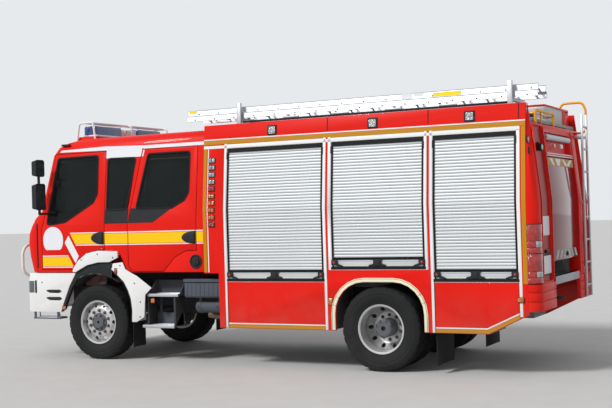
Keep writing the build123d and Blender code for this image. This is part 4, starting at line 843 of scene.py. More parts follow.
paired(shells, "headlamp_lenses", clear_lens, "glass")
paired(ambers, "front_indicators", amber_lens, "lamp", 0.002)
paired(corner_glass, "headlamp_corners", smoke_lens, "glass")


# Steps, boxes and tanks under the cab: blue-grey moulded plastic and painted sheet, dull with dust.
# Each step has a pale ribbed metal lip along its edge, and the tank is held by two straps.
step_plastic = dull_black("step_plastic", (0.06, 0.07, 0.088), dirt=0.6, dirt_top=1.3, rough=0.5)
rounded_node("cab_steps", step_plastic, 0.008)
rounded_node("chassis_boxes", step_plastic, 0.01)
rounded_node("mudflaps", rubber.material, 0.002)


def bare_metal(name, colour, rough=0.34, dirt=0.4, dirt_top=1.0):
    """Milled or drawn metal, its fine lines along the piece, with dirt low down."""
    metal = Finish(name)
    lines = metal.noise(9.0, 3.0, 0.55, stretch=(2, 60, 60))
    film = grime(metal, dirt_top, dirt)
    stained = metal.blend(metal.noise(4.0, 5.0, 0.6), tuple(0.8 * part for part in colour), colour)
    metal.set(
        Base_Color=metal.blend(film, stained, (0.17, 0.15, 0.13)),
        Metallic=0.85 - 0.6 * film,
        Roughness=rough + 0.12 * lines + 0.3 * film,
        Normal=metal.bump(lines, 0.0006, 0.4),
    )
    return metal.material


drawn_metal = bare_metal("drawn_metal", (0.62, 0.64, 0.67))
treads = Form()
for x0, x1, y0, top in ((0.86, 1.35, 1.17, 0.906), (0.78, 1.29, 1.19, 0.491)):
    treads.block((x0 + 0.004, x1 - 0.004), (y0 - 0.03, y0 + 0.001), (top - 0.034, top + 0.004))
    for k in range(7):
        y = y0 - 0.05 - 0.027 * k
        treads.block((x0 + 0.02, x1 - 0.02), (y - 0.005, y + 0.005), (top - 0.004, top + 0.005))
paired(treads, "step_lips", drawn_metal, "chassis_paint", 0.002)
TANK = (1.01, 0.735)
ribs = Form()
for k in range(9):
    x = 1.47 + 0.066 * k
    ribs.block((x, x + 0.018), (1.14, 1.154), (0.885, 1.045))
ribs.block((1.436, 2.019), (1.152, 1.159), (1.068, 1.078))
for x in (1.6, 1.89):
    ribs.pin(-0.02, 0.02, 0.0825, (x, *TANK), 28, "X", hollow=0.0775)
    ribs.block((x - 0.02, x + 0.02), (1.085, 1.1), (0.725, 0.76))
ribs.turned(((0.0, 0.0), (0.0, 0.07), (0.01, 0.062), (0.014, 0.0)), (1.972, *TANK), 28, "X")
paired(ribs, "box_ribs_and_straps", step_plastic, "chassis_paint", 0.0015)
brackets = Form()
for x in (0.835, 1.262):
    brackets.block((x, x + 0.028), (0.96, 1.15), (0.48, 0.872))
    brackets.block((x, x + 0.028), (0.7, 0.96), (0.8, 0.85))
paired(brackets, "step_brackets", chassis_black, "chassis_paint", 0.003)
folding_step = Form()
for y in (1.02, 1.072, 1.124, 1.166):
    folding_step.block((-1.1, -0.65), (y - 0.006, y + 0.006), (0.546, 0.572))
for x in (-1.085, -0.875, -0.665):
    folding_step.block((x - 0.008, x + 0.008), (1.016, 1.172), (0.548, 0.566))
for x in (-1.05, -0.7):
    folding_step.bar([(x, 1.1, 0.56), (x, 1.12, 0.65)], 0.01, 8)
paired(folding_step, "folding_step_grating", drawn_metal, "chassis_paint", 0.002)
burnt_steel = bare_metal("burnt_steel", (0.3, 0.22, 0.16), 0.55, 0.8)
exhaust = Form().bar(bent([(1.55, -0.72, 0.6), (1.95, -0.72, 0.56), (2.1, -0.98, 0.5)], 0.12), 0.045, 16)
made(exhaust, "exhaust_pipe", "truck", burnt_steel, "chassis_paint")


# Front mudguards: a white plastic cap and side plate round a black rubber flare, bolted under the cab,
# with a dark lining behind the wheel. The solids hold all of them; the dark parts are laid on again.
def doubled(points, thick):
    """An open path in a plane, made into a strip: thick is added outwards (upwards) from it."""
    outer = []
    for i, point in enumerate(points):
        before = Vector(points[max(i - 1, 0)])
        after = Vector(points[min(i + 1, len(points) - 1)])
        way = (after - before).normalized()
        outer.append(tuple(Vector(point) + Vector((-way.y, way.x)) * thick))
    return list(points) + outer[::-1]


rounded_node("front_mudguards", white_paint, 0.007, 3)
FLARE_OUT = [
    (-0.426, 1.022), (-0.375, 1.11), (-0.316, 1.198), (-0.225, 1.258), (-0.115, 1.302), (-0.02, 1.326),
    (0.08, 1.341), (0.18, 1.368), (0.29, 1.397),
]
FLARE_IN = [
    (0.29, 1.119), (0.15, 1.165), (0.075, 1.177), (0.0, 1.182), (-0.075, 1.177), (-0.15, 1.165),
    (-0.23, 1.141), (-0.3, 1.111),
]
flares = Form().slab(FLARE_OUT + FLARE_IN, 1.15, 1.197)
BUMPER_ARCH = [(-0.6, 0.648), (-0.553, 0.77), (-0.505, 0.87), (-0.426, 1.022)]
ARCH_IN = [(-0.3, 1.104), (-0.395, 0.99), (-0.47, 0.85), (-0.512, 0.76), (-0.535, 0.69)]
flares.slab(BUMPER_ARCH + ARCH_IN, 1.14, 1.1968)
WHEEL_LINING = [
    (0.625, 0.531), (0.632, 0.69), (0.612, 0.843), (0.567, 0.96), (0.503, 1.07), (0.355, 1.204),
    (0.292, 1.247),
]
flares.slab(doubled(WHEEL_LINING, 0.03), 0.9, 1.194)
ARCH_LIP = [
    (-0.426, 1.015), (-0.3, 1.104), (-0.15, 1.158), (0.0, 1.175), (0.15, 1.158), (0.3, 1.112), (0.4, 1.06),
]
flares.slab(doubled(ARCH_LIP, 0.01), 0.86, 1.196)
PLATE_BACK = [
    (0.31, 1.24), (0.325, 1.31), (0.475, 1.325), (0.52, 1.235), (0.7, 1.145), (0.935, 0.99), (0.835, 0.895),
    (0.81, 0.605), (0.69, 0.54), (0.63, 0.54), (0.635, 0.69), (0.615, 0.845), (0.57, 0.965),
    (0.505, 1.075), (0.36, 1.21),
]
flares.slab(PLATE_BACK, 1.18, 1.187)
paired(flares, "mudguard_flares", plastic, "trim", 0.005, 3)
bolts = Form()
CAP_FACE = 1.2235
PLATE_FACE = 1.198
BOLT_HEAD = ((0.0, 0.0), (0.0, 0.01), (0.004, 0.01), (0.0065, 0.006), (0.0065, 0.0))
for x, z in ((-0.2, 1.372), (0.08, 1.45), (0.34, 1.4)):
    bolts.turned(BOLT_HEAD, (x, CAP_FACE, z), 12)
for x, z in ((0.44, 1.29), (0.67, 1.05), (0.76, 0.8), (0.75, 0.6)):
    bolts.turned(BOLT_HEAD, (x, PLATE_FACE, z), 12)
paired(bolts, "mudguard_bolts", plastic, "trim")


# Stripes: pale, yellow and dull gold reflective film, laid on the painted walls. Each is a thin strip
# that follows the leaning wall, cut at every door edge so that it turns with its own door.
LEAN = 0.0974
CAB_WALL = (1.2, 1.85)
BODY_WALL = (1.25, 2.0)
FILM = 0.0014


def face_y(wall, z):
    """Half the truck's width at a height: upright to the wall's bend, leaning above it."""
    return wall[0] - LEAN * max(z - wall[1], 0)


def cut(outline, height, keep):
    """The part of an outline above (keep 1) or below (keep -1) a height."""
    part = []
    for a, b in zip(outline, outline[1:] + outline[:1]):
        inside = keep * (a[1] - height) >= 0, keep * (b[1] - height) >= 0
        if inside[0]:
            part.append(a)
        if inside[0] != inside[1]:
            t = (height - a[1]) / (b[1] - a[1])
            part.append((a[0] + t * (b[0] - a[0]), height))
    return part


def folded(form, outline, bend, place, depths):
    """A thin strip between two depths of a wall that bends at a height; place finds its points."""
    for keep in (-1, 1):
        part = cut(list(outline), bend, keep)
        if len(part) > 2:
            form.skin([[place(u, z, depth) for u, z in part] for depth in depths])


def laid(form, outline, wall, proud=FILM, under=0.003):
    """A strip on the right-hand wall, drawn as (x, z)."""
    folded(form, outline, wall[1], lambda x, z, out: (x, face_y(wall, z) + out, z), (-under, proud))


def film_finish(name, colour):
    """Reflective film: tiny glass beads under a clear skin, in cells a few millimetres across."""
    sheet = Finish(name)
    values = {"Vector": sheet.place(), "Scale": 240.0}
    cells = sheet.node("ShaderNodeTexVoronoi", {"feature": "DISTANCE_TO_EDGE"}, values)
    edges = sheet.ramp(cells, 0.0, 0.12)
    film = grime(sheet, 1.2, 0.35)
    base = sheet.blend(edges, tuple(0.88 * part for part in colour), colour)
    sheet.set(
        Base_Color=sheet.blend(film, base, (0.22, 0.19, 0.15)),
        Roughness=0.42 + 0.3 * film,
        Specular_IOR_Level=0.2,
        Normal=sheet.bump(edges, 0.0004, 0.3),
    )
    return sheet.material


yellow_film = film_finish("yellow_film", (0.93, 0.56, 0.004))
gold_film = film_finish("gold_film", (0.5, 0.225, 0.006))
white_film = film_finish("white_film", (0.78, 0.79, 0.83))


def strips_on(wall, outlines, proud):
    strips = Form()
    for outline in outlines:
        laid(strips, outline, wall, proud)
    return strips


def on_walls(name, outlines, wall, material, carrier="truck", slot="red_paint", proud=FILM, width=0.0):
    """Strips on both sides of the truck, or one set on each of a pair of doors."""
    if carrier == "truck":
        made(strips_on(wall, outlines, proud).both(), name, "truck", material, slot, width)
        return
    for hand, sign in HANDS.items():
        strips = strips_on(wall, outlines, proud).on(sign)
        made(strips, f"{name}_{hand}", f"{carrier}_{hand}", material, slot, width)


BAND = (1.591, 1.729)
LINE = 0.014
GAP = 0.007
FRONT_DOOR = (-0.899, 0.182)
DOOR_START = FRONT_DOOR[0] + 0.002
CREW_DOOR = (0.591, 1.67)
AFTER_CREW = (1.682, 1.786)
BETWEEN = (0.194, 0.579)


def band_lines(x0, x1, start=0.0):
    """The two thin lines above and below a band, of which the lower starts further back."""
    low, high = BAND[0] - GAP, BAND[1] + GAP
    return [rectangle(x0, x1, high, high + LINE), rectangle(x0 + start, x1, low - LINE, low)]


front_yellow = [
    [(-0.395, 1.729), (-0.316, BAND[0]), (FRONT_DOOR[1], BAND[0]), (FRONT_DOOR[1], BAND[1])],
    [(DOOR_START, 1.287), (-0.352, 1.287), (-0.428, 1.416), (DOOR_START, 1.416)],
]
front_white = band_lines(-0.4, FRONT_DOOR[1], start=0.095) + [
    [(-0.43, 1.712), (-0.258, 1.425), (-0.318, 1.328), (-0.498, 1.612)],
    [(DOOR_START, 1.423), (-0.434, 1.423), (-0.442, 1.437), (DOOR_START, 1.437)],
    [(DOOR_START, 1.266), (-0.372, 1.266), (-0.36, 1.28), (DOOR_START, 1.28)],
]
BADGE = (-0.7045, 1.66)
crown = arc((0.0, 0.0), 1.0, 0, 180, 20)
badge = [(BADGE[0] + 0.1765 * u, BADGE[1] + 0.179 * v) for u, v in crown]
badge += [
    (-0.878, 1.61), (-0.866, 1.565), (-0.845, 1.53), (-0.825, 1.515), (-0.584, 1.515), (-0.564, 1.53),
    (-0.543, 1.565), (-0.531, 1.61),
]
front_white.append(badge)

on_walls("front_door_yellow", front_yellow, CAB_WALL, yellow_film, "door_front")
on_walls("front_door_white", front_white, CAB_WALL, white_film, "door_front")
on_walls("crew_door_yellow", [rectangle(*CREW_DOOR, *BAND)], CAB_WALL, yellow_film, "door_crew")
on_walls("crew_door_white", band_lines(*CREW_DOOR), CAB_WALL, white_film, "door_crew")
cab_yellow = [rectangle(*BETWEEN, *BAND), rectangle(*AFTER_CREW, *BAND)]
on_walls("cab_yellow", cab_yellow, CAB_WALL, yellow_film)
roof_band = [
    (-0.616, 2.879), (-0.589, 2.906), (0.162, 2.925), (0.831, 2.905), (1.786, 2.905), (1.786, 2.86),
    (0.833, 2.86), (0.8, 2.866), (0.157, 2.87),
]
roof_drop = [(0.196, 2.758), (0.772, 2.757), (0.793, 2.85), (0.793, 2.868), (0.196, 2.868)]
cab_white = band_lines(*BETWEEN) + band_lines(*AFTER_CREW) + [roof_band, roof_drop]
on_walls("cab_white", cab_white, CAB_WALL, white_film)
top_corner = [(0.794, 2.757), (0.812, 2.757), (0.833, 2.846), (0.812, 2.846)]
on_walls("crew_door_top_white", [top_corner], CAB_WALL, white_film, "door_crew")


# Windows: dark tinted safety glass, set in black rubber. The panes keep their own solids; a black
# rubber moulding and a printed black edge run round every pane, and a black panel joins two of them.
tinted = Finish("tinted_glass")
smears = tinted.noise(3.5, 6.0, 0.6)
tinted.set(
    Base_Color=tinted.blend(smears, (0.006, 0.008, 0.008), (0.014, 0.018, 0.017)),
    Roughness=0.03 + 0.05 * smears,
    Specular_IOR_Level=0.14,
    Alpha=0.74 + 0.06 * smears,
)
GLASS = ("cab_glass", "glass_front_left", "glass_front_right", "glass_crew_left", "glass_crew_right")
for node in GLASS:
    coat_node(node, tinted.material)

gasket_rubber = dull_black("gasket_rubber", (0.01, 0.01, 0.011), dirt=0.2, rough=0.38)
FRONT_PANE = [(-0.808, 1.869), (-0.49, 1.902), (-0.01, 2.16), (0.057, 2.275), (0.053, 2.8), (-0.642, 2.79)]
CREW_PANE = [(0.718, 2.051), (1.29, 2.051), (1.49, 2.15), (1.552, 2.249), (1.56, 2.783), (0.895, 2.781)]
SIDE_PANE = [(0.23, 2.047), (0.545, 2.047), (0.69, 2.742), (0.23, 2.748)]
WINDOW_CORNER = 0.04
LIP = 0.016


def window_moulding(outline):
    """A rubber ring round a window's edge: a lip outside the hole and a printed edge on the glass."""
    outer = eased(grown(outline, LIP), WINDOW_CORNER + LIP)
    inner = eased(grown(outline, -0.004), WINDOW_CORNER)
    deep = eased(grown(outline, -LIP), WINDOW_CORNER - LIP * 0.5)
    section = [(outer, -0.002), (outer, 0.0025), (inner, 0.0035), (deep, -0.01), (deep, -0.016)]
    rings = []
    for points, out in [*section, (inner, -0.014)]:
        rings.append([(x, face_y(CAB_WALL, z) + out, z) for x, z in points])
    return Form().skin(rings, closed=True)


for hand, sign in HANDS.items():
    for part, pane in (("front", FRONT_PANE), ("crew", CREW_PANE)):
        ring = window_moulding(pane).on(sign)
        made(ring, f"{part}_window_rubber_{hand}", f"door_{part}_{hand}", gasket_rubber, "trim")
made(window_moulding(SIDE_PANE).both(), "side_window_rubber", "truck", gasket_rubber, "trim")
side_black = [rectangle(0.194, 0.579, 1.862, 2.06)]
on_walls("side_black_panel", side_black, CAB_WALL, plastic, slot="trim", proud=0.0022)
crew_black = [(0.591, 1.862), (0.994, 1.862), (1.252, 2.022), (1.292, 2.048)]
crew_black += [(0.722, 2.048), (0.712, 2.062), (0.63, 2.062)]
on_walls("crew_black_panel", [crew_black], CAB_WALL, plastic, "door_crew", "trim", 0.0022)
slit = [rectangle(-0.998, -0.974, 1.264, 1.883)]
on_walls("front_corner_gasket", slit, CAB_WALL, gasket_rubber, slot="trim", proud=0.0016)

GRILLE_X = (-1.262, -1.25)
grille_mesh = Form()
for y0, y1 in ((-0.62, -0.22), (-0.2, 0.2), (0.22, 0.62)):
    for k in range(5):
        z = 1.3 + 0.08 * k
        grille_mesh.block(GRILLE_X, (y0 + 0.004, y1 - 0.004), (z + 0.004, z + 0.046))
made(grille_mesh, "grille_slots", "truck", plastic, "trim")


# Mirrors, door handles, filler cap and small lamps: moulded black plastic on the painted cab. Each
# mirror case holds two panes, and a door handle is half a dome that covers the grip.
for hand in HANDS:
    rounded_node(f"mirrors_{hand}", plastic, 0.022, 4)
mirror_glass = Finish("mirror_glass")
haze = mirror_glass.noise(6.0, 4.0)
mirror_glass.set(Base_Color=(0.7, 0.72, 0.74), Metallic=1.0, Roughness=0.03 + 0.05 * haze)
MIRROR_PANES = (rectangle(1.268, 1.432, 2.094, 2.43), rectangle(1.276, 1.424, 2.556, 2.764))
for hand, sign in HANDS.items():
    faces = Form()
    for outline in MIRROR_PANES:
        faces.slab(eased(outline, 0.03), -0.7715, -0.768, "X")
    made(faces.on(sign), f"mirror_faces_{hand}", f"door_front_{hand}", mirror_glass.material, "trim")


def handle(x0, x1, z0, z1):
    """A half dome that stands off the door, high at the back, with a grip below its rim."""
    rings = []
    for out, scale in ((-0.002, 1.0), (0.01, 0.985), (0.018, 0.93), (0.024, 0.82), (0.027, 0.62)):
        ring = []
        for a in (math.pi * (0.5 + i / 16) for i in range(17)):
            z = z0 + (z1 - z0) * (0.5 + 0.5 * math.sin(a) * scale)
            ring.append((x1 + (x1 - x0) * math.cos(a) * scale, face_y(CAB_WALL, z) + out, z))
        rings.append(ring)
    grip = Form().skin(rings)
    return grip.block((x1 - 0.055, x1 - 0.008), (1.2, 1.231), (z0 + 0.02, z1 - 0.02))


HANDLES = {"door_front": (-0.037, 0.178, 1.582, 1.758), "door_crew": (1.452, 1.666, 1.57, 1.74)}
for hand, sign in HANDS.items():
    for carrier, place in HANDLES.items():
        grip = handle(*place).on(sign)
        made(grip, f"{carrier}_handle_{hand}", f"{carrier}_{hand}", plastic, "trim", 0.004, 2)

CAP_X = 1.664
CAP_Z = 1.337
CAP_BOLTS_R = 0.086
CAP_SECTION = (
    (-0.002, 0.0), (-0.002, 0.094), (0.006, 0.094), (0.01, 0.088), (0.01, 0.078), (0.002, 0.074),
    (0.002, 0.058), (0.018, 0.054), (0.022, 0.048), (0.022, 0.0),
)
filler = Form().turned(CAP_SECTION, (CAP_X, CAB_WALL[0], CAP_Z), 40)
for x, z in circle((CAP_X, CAP_Z), CAP_BOLTS_R, 6):
    filler.pin(0.0, 0.014, 0.006, (x, CAB_WALL[0], z), 10)
filler.block((CAP_X - 0.01, CAP_X + 0.01), (1.205, 1.228), (1.295, 1.379))
paired(filler, "filler_cap", plastic, "trim", 0.0015)


MARKER_EDGE = 0.006
MARKER_CORNER = 0.01
bases, ambers, reds = Form(), Form(), Form()
MARKERS = (
    (ambers, 0.15, 1.2, 1.522, 0.016, 0.01, 0.014),
    (ambers, -0.545, 1.195, 0.705, 0.03, 0.02, 0.014),
    (ambers, 0.93, 1.15, 0.815, 0.028, 0.028, 0.014),
    (reds, 0.366, 1.199, 1.215, 0.02, 0.034, 0.01),
    (ambers, 3.628, 1.25, 0.842, 0.028, 0.04, 0.014),
    (ambers, 6.0, 1.262, 0.88, 0.034, 0.024, 0.014),
)
for cover, x, y, z, half_x, half_z, proud in MARKERS:
    rim_x, rim_z = half_x + MARKER_EDGE, half_z + MARKER_EDGE
    bases.slab(
        eased(rectangle(x - rim_x, x + rim_x, z - rim_z, z + rim_z), MARKER_CORNER), y - 0.004, y + 0.005
    )
    outline = eased(rectangle(-half_x, half_x, -half_z, half_z), MARKER_CORNER)
    bulge = ((0.003, 1.0), (proud * 0.6, 1.0), (proud, 0.75))
    cover.skin([[(x + u * scale, y + out, z + v * scale) for u, v in outline] for out, scale in bulge])
bases.block((0.9, 0.96), (1.02, 1.152), (0.8, 0.832))
bases.slab([(-0.592, 2.966), (-0.447, 2.966), (-0.452, 2.992), (-0.585, 2.992)], 1.07, 1.104)
paired(bases, "marker_bases", plastic, "trim", 0.002)
paired(ambers, "amber_markers", amber_lens, "lamp")
paired(reds, "red_markers", red_lens, "lamp")


# Locker body: shutters of folded anodised aluminium slats in white painted frames. Black brush seals
# run up both sides, and a lift bar with a rocking handle and two end latches runs along the foot.
slats = Finish("shutter_slats")
chalk = slats.noise(2.2, 5.0, 0.6)
chalky = slats.blend(chalk, (0.5, 0.52, 0.53), (0.58, 0.6, 0.61))
scuffs = slats.ramp(slats.noise(50.0, 5.0, 0.7, stretch=(1, 1, 6)), 0.62, 0.74)
slats.set(
    Base_Color=slats.blend(scuffs * 0.4, chalky, (0.38, 0.39, 0.4)),
    Metallic=0.25,
    Roughness=0.42 + 0.12 * chalk,
    Normal=slats.bump(slats.noise(14.0, 3.0, 0.5, stretch=(1, 40, 60)), 0.0006, 0.35),
)
frame_white = car_paint("frame_white", (0.8, 0.81, 0.8), dirt=0.45, dirt_top=1.3, worn=0.3)
rounded_node("shutter_frames", frame_white, 0.003)
SHUTTERS = ((2.174, 3.545, 1.095, 2.785), (3.66, 4.867, 1.242, 2.785), (4.979, 5.978, 1.095, 2.785))
SLAT = 0.037
CURTAIN_FOOT = 0.128
CURTAIN_HEAD = 0.056
SLAT_SECTION = ((-0.012, 0.0015), (-0.0065, 0.0035), (-0.0042, 0.009), (-0.0038, 0.018), (-0.0045, 0.028))
BOW = [
    (-0.118, 0.03), (-0.1, 0.022), (0.1, 0.022), (0.118, 0.03), (0.105, 0.042), (0.055, 0.056),
    (0.05, 0.092), (0.066, 0.1), (0.066, 0.108), (-0.066, 0.108), (-0.066, 0.1), (-0.05, 0.092),
    (-0.055, 0.056), (-0.105, 0.042),
]
LATCH_BUTTON = ((0.0, 0.0), (0.0, 0.017), (0.005, 0.014), (0.006, 0.0))


def upright(form, x0, x1, z0, z1, proud, under):
    """A rectangle on the locker body's wall, its ends given either way round."""
    laid(form, rectangle(*sorted((x0, x1)), z0, z1), BODY_WALL, proud, under)


curtain, brushes, bars, latches, dots = Form(), Form(), Form(), Form(), Form()
for x0, x1, z0, z1 in SHUTTERS:
    z = z0 + CURTAIN_FOOT
    while z < z1 - CURTAIN_HEAD:
        top = min(z + SLAT, z1 - CURTAIN_HEAD)
        section = [(out, z + rise) for out, rise in SLAT_SECTION]
        section += [(-0.0075, top - 0.0025), (-0.012, top), (-0.024, top), (-0.024, z)]
        profile = [(face_y(BODY_WALL, height) + out - 0.005, height) for out, height in section]
        curtain.slab(profile, x0 + 0.02, x1 - 0.02, "X")
        z += SLAT
    for x, way in ((x0, 1), (x1, -1)):
        upright(brushes, x + way * 0.003, x + way * 0.023, z0 + 0.02, z1 - 0.01, 0.002, 0.02)
        upright(latches, x - way * 0.006, x + way * 0.016, z1 - 0.14, z1 - 0.052, 0.01, 0.01)
        upright(latches, x - way * 0.002, x + way * 0.075, z0 + 0.042, z0 + 0.104, 0.02, 0.01)
        lever = ((0.06, 0.03), (0.14, 0.022), (0.15, 0.032), (0.075, 0.06))
        laid(latches, [(x + way * u, z0 + v) for u, v in lever], BODY_WALL, 0.014, 0.004)
        dots.turned(LATCH_BUTTON, (x + way * 0.034, face_y(BODY_WALL, z0) + 0.019, z0 + 0.074), 16)
    upright(brushes, x0 + 0.002, x1 - 0.002, z1 - 0.052, z1 - 0.004, 0.004, 0.014)
    upright(brushes, x0 - 0.012, x1 + 0.012, z0 - 0.012, z0 + 0.02, 0.006, 0.02)
    upright(brushes, x0 + 0.02, x1 - 0.02, z0 + 0.104, z0 + 0.12, 0.004, 0.02)
    upright(bars, x0 + 0.02, x1 - 0.02, z0 + 0.022, z0 + 0.103, -0.004, 0.02)
    upright(bars, x0 + 0.022, x1 - 0.022, z0 + 0.084, z0 + 0.096, 0.001, 0.01)
    upright(bars, x0 + 0.022, x1 - 0.022, z0 + 0.028, z0 + 0.04, 0.001, 0.01)
    middle = (x0 + x1) / 2
    laid(latches, [(middle + u, z0 + v) for u, v in BOW], BODY_WALL, 0.016, 0.004)
    upright(latches, middle - 0.03, middle + 0.03, z0 + 0.03, z0 + 0.096, 0.024, 0.004)
curtain = paired(curtain, "shutter_slats", slats.material, "aluminium", smooth=50)
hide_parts("shutters")
paired(bars, "shutter_lift_bars", slats.material, "aluminium", 0.002)
paired(brushes, "shutter_seals", gasket_rubber, "trim")
paired(latches, "shutter_handles", plastic, "trim", 0.003)
paired(dots, "latch_buttons", red_lens, "lamp")


# Body markings: the white aluminium cover strips, the dull gold bands with a thin white line beside
# each, the black seams, the cream rubber round the wheel arch, and the lamps set in the red sheet.
WHITE_STRIPS = [
    rectangle(2.134, 2.168, 0.492, 1.08), rectangle(2.134, 2.166, 1.08, 2.846),
    rectangle(3.553, 3.586, 0.492, 1.08), rectangle(3.553, 3.586, 1.08, 2.846),
    rectangle(3.616, 3.652, 1.225, 2.846), rectangle(4.875, 4.903, 1.225, 2.846),
    rectangle(4.938, 4.972, 0.492, 1.08), rectangle(4.938, 4.972, 1.08, 2.846),
    rectangle(5.985, 6.02, 0.69, 2.8),
]
RAIL_SEEN = [(1.822, 2.792), (6.022, 2.786), (6.022, 2.822), (1.822, 2.83)]
strips = [*WHITE_STRIPS, RAIL_SEEN]
on_walls("cover_strips", strips, BODY_WALL, frame_white, slot="aluminium", proud=0.004, width=0.0015)
golds = [
    rectangle(1.822, 1.868, 1.2, 2.842),
    [(1.822, 2.846), (6.084, 2.838), (6.084, 2.89), (1.822, 2.898)],
    rectangle(6.034, 6.084, 1.062, 2.834),
    rectangle(2.172, 3.549, 0.494, 0.536),
    [(4.976, 0.494), (5.612, 0.494), (5.98, 0.668), (5.98, 0.712), (5.604, 0.536), (4.976, 0.536)],
]
on_walls("body_gold_bands", golds, BODY_WALL, gold_film)
lines = [
    rectangle(1.884, 1.898, 1.2, 2.788),
    [(1.822, 2.902), (6.084, 2.894), (6.084, 2.908), (1.822, 2.916)],
    rectangle(2.172, 3.549, 0.541, 0.555),
    [(4.976, 0.541), (5.602, 0.541), (5.98, 0.717), (5.98, 0.733), (5.598, 0.556), (4.976, 0.556)],
]
on_walls("body_white_lines", lines, BODY_WALL, white_film)
seams = [rectangle(x - 0.006, x + 0.006, 2.925, 3.092) for x in (3.607, 4.922, 6.01)]
on_walls("coaming_seams", seams, BODY_WALL, gasket_rubber, slot="trim", proud=0.001)
seams = [
    rectangle(2.164, 2.17, 0.495, 1.075),
    rectangle(4.971, 4.977, 0.495, 1.075),
    rectangle(5.979, 5.985, 0.695, 1.075),
]
on_walls("panel_seams", seams, BODY_WALL, gasket_rubber, slot="trim", proud=0.0045)

cream_paint = car_paint("cream_paint", (0.86, 0.8, 0.58), dirt=0.35, dirt_top=1.2, worn=0.2)
rounded_node("arch_trims", cream_paint, 0.004)
ARCH_FRONT = (4.072, 0.693)
ARCH_BACK = (4.455, 0.693)
ARCH_R = 0.385
ARCH = [(3.687, 0.495), (3.687, 0.693), *arc(ARCH_FRONT, ARCH_R, 165, 90, 5)]
ARCH += [(4.455, 1.078), *arc(ARCH_BACK, ARCH_R, 75, 15, 4), (4.84, 0.693), (4.84, 0.495)]
arch_line = Form()
groove_path = doubled(doubled(ARCH, 0.036)[len(ARCH):][::-1], 0.004)
arch_line.slab(groove_path, 1.255, 1.2632)
for centre, angle in ((ARCH_FRONT, 150), (ARCH_FRONT, 165), (ARCH_BACK, 35), (ARCH_BACK, 20)):
    way = Vector((math.cos(math.radians(angle)), math.sin(math.radians(angle))))
    joint = [tuple(Vector(centre) + way * r) for r in (0.387, 0.432)]
    arch_line.slab(doubled(joint, 0.003), 1.255, 1.2634)
paired(arch_line, "arch_trim_joints", gasket_rubber, "trim")

inner_metal = bare_metal("inner_metal", (0.3, 0.31, 0.32), 0.5, dirt=0.8, dirt_top=1.6)
for node in ("body_inner", "low_lockers", "body_roof"):
    rounded_node(node, inner_metal, 0.003)
lamp_cases, lamp_greys, lamp_ambers, lamp_reds = Form(), Form(), Form(), Form()
COLUMN = ("grey",) * 4 + ("red",) + ("amber",) * 4 + ("red",)
kinds = {"grey": lamp_greys, "amber": lamp_ambers, "red": lamp_reds}
COLUMN_TOP = 2.64
COLUMN_STEP = 0.092
for k, kind in enumerate(COLUMN):
    z = COLUMN_TOP - COLUMN_STEP * k
    upright(lamp_cases, 1.898, 2.002, z - 0.033, z + 0.033, 0.0085, 0.004)
    for x0, x1 in ((1.906, 1.948), (1.952, 1.994)):
        rings = []
        for out, less in ((0.008, 0.0), (0.014, 0.002), (0.018, 0.008)):
            edge = eased(rectangle(x0 + less, x1 - less, z - 0.026 + less, z + 0.026 - less), 0.006)
            rings.append([(x, face_y(BODY_WALL, height) + out, height) for x, height in edge])
        kinds[kind].skin(rings)
for x in (2.77, 4.152, 5.371):
    laid(lamp_cases, eased(rectangle(x - 0.004, x + 0.126, 2.921, 3.049), 0.012), BODY_WALL, 0.01, 0.004)
    laid(lamp_greys, eased(rectangle(x + 0.016, x + 0.106, 2.94, 3.03), 0.008), BODY_WALL, 0.014, 0.002)
body_cases = paired(lamp_cases, "body_lamp_cases", plastic, "lamp", 0.002)
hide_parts("body_lamps")
paired(lamp_greys, "body_grey_lamps", grey_lens, "lamp")
paired(lamp_ambers, "body_amber_lamps", amber_lens, "lamp")
paired(lamp_reds, "body_red_lamps", red_lens, "lamp")


# Roof ladder: two sliding sections of ribbed aluminium tube with round rungs, held between gantries by
# straps and rollers. The open tube ends of the rungs are dark discs along the rails: painted shade inside
# the tubes.
LADDER_LOW = (3.185, 3.26, 0.0)
LADDER_HIGH = (3.26, 3.335, 0.035)
ladder_metal = bare_metal("ladder_metal", (0.6, 0.62, 0.65), 0.38, dirt=0.0)
yellow_label = film_finish("yellow_label", (0.9, 0.72, 0.02))
LADDER_X = (1.44, 6.18)
RAIL_FOLDS = 6
RUNGS = 16
rails, rungs, ends = Form(), Form(), Form()
for low, high, inset in (LADDER_LOW, LADDER_HIGH):
    for y0, y1 in ((-0.96 + inset, -0.93 + inset), (-0.57 - inset, -0.54 - inset)):
        right_side, left_side = [], []
        for k in range(RAIL_FOLDS + 1):
            height = low + (high - low) * k / RAIL_FOLDS
            for shift in (-0.0025, 0.0025):
                z = min(max(height + shift, low), high)
                dent = 0.0018 if shift < 0 and 0 < k < RAIL_FOLDS else 0.0
                right_side.append((y1 - dent, z))
                left_side.append((y0 + dent, z))
        rails.slab(right_side + left_side[::-1], *LADDER_X, "X")
    for k in range(RUNGS):
        x = 1.56 + 0.3 * k + (0.04 if inset else 0.0)
        rungs.pin(0.02, 0.39 - 2 * inset, 0.0125, (x, -0.96 + inset, (low + high) / 2))
        for y in (-0.9605 + inset, -0.5395 - inset):
            ends.pin(-0.0006, 0.0006, 0.0095, (x, y, low + 0.02), 14)
ladder = made(rails, "roof_ladder_rails", "truck", ladder_metal, "aluminium")
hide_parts("roof_ladder")
made(rungs, "roof_ladder_rungs", "truck", ladder_metal, "aluminium")
# Dark discs at the rung ends: painted shade inside the open tubes, the rungs themselves being solid.
made(ends, "roof_ladder_hole_shade", "truck", gasket_rubber, "aluminium")
LABEL_Y = (-0.9262, -0.9248)
labels = Form()
for x0, x1, low, high in ((1.452, 1.56, 3.292, 3.33), (4.905, 5.26, 3.268, 3.315)):
    labels.block((x0, x1), LABEL_Y, (low, high))
made(labels, "ladder_yellow_labels", "truck", yellow_label, "aluminium")
white_labels = Form()
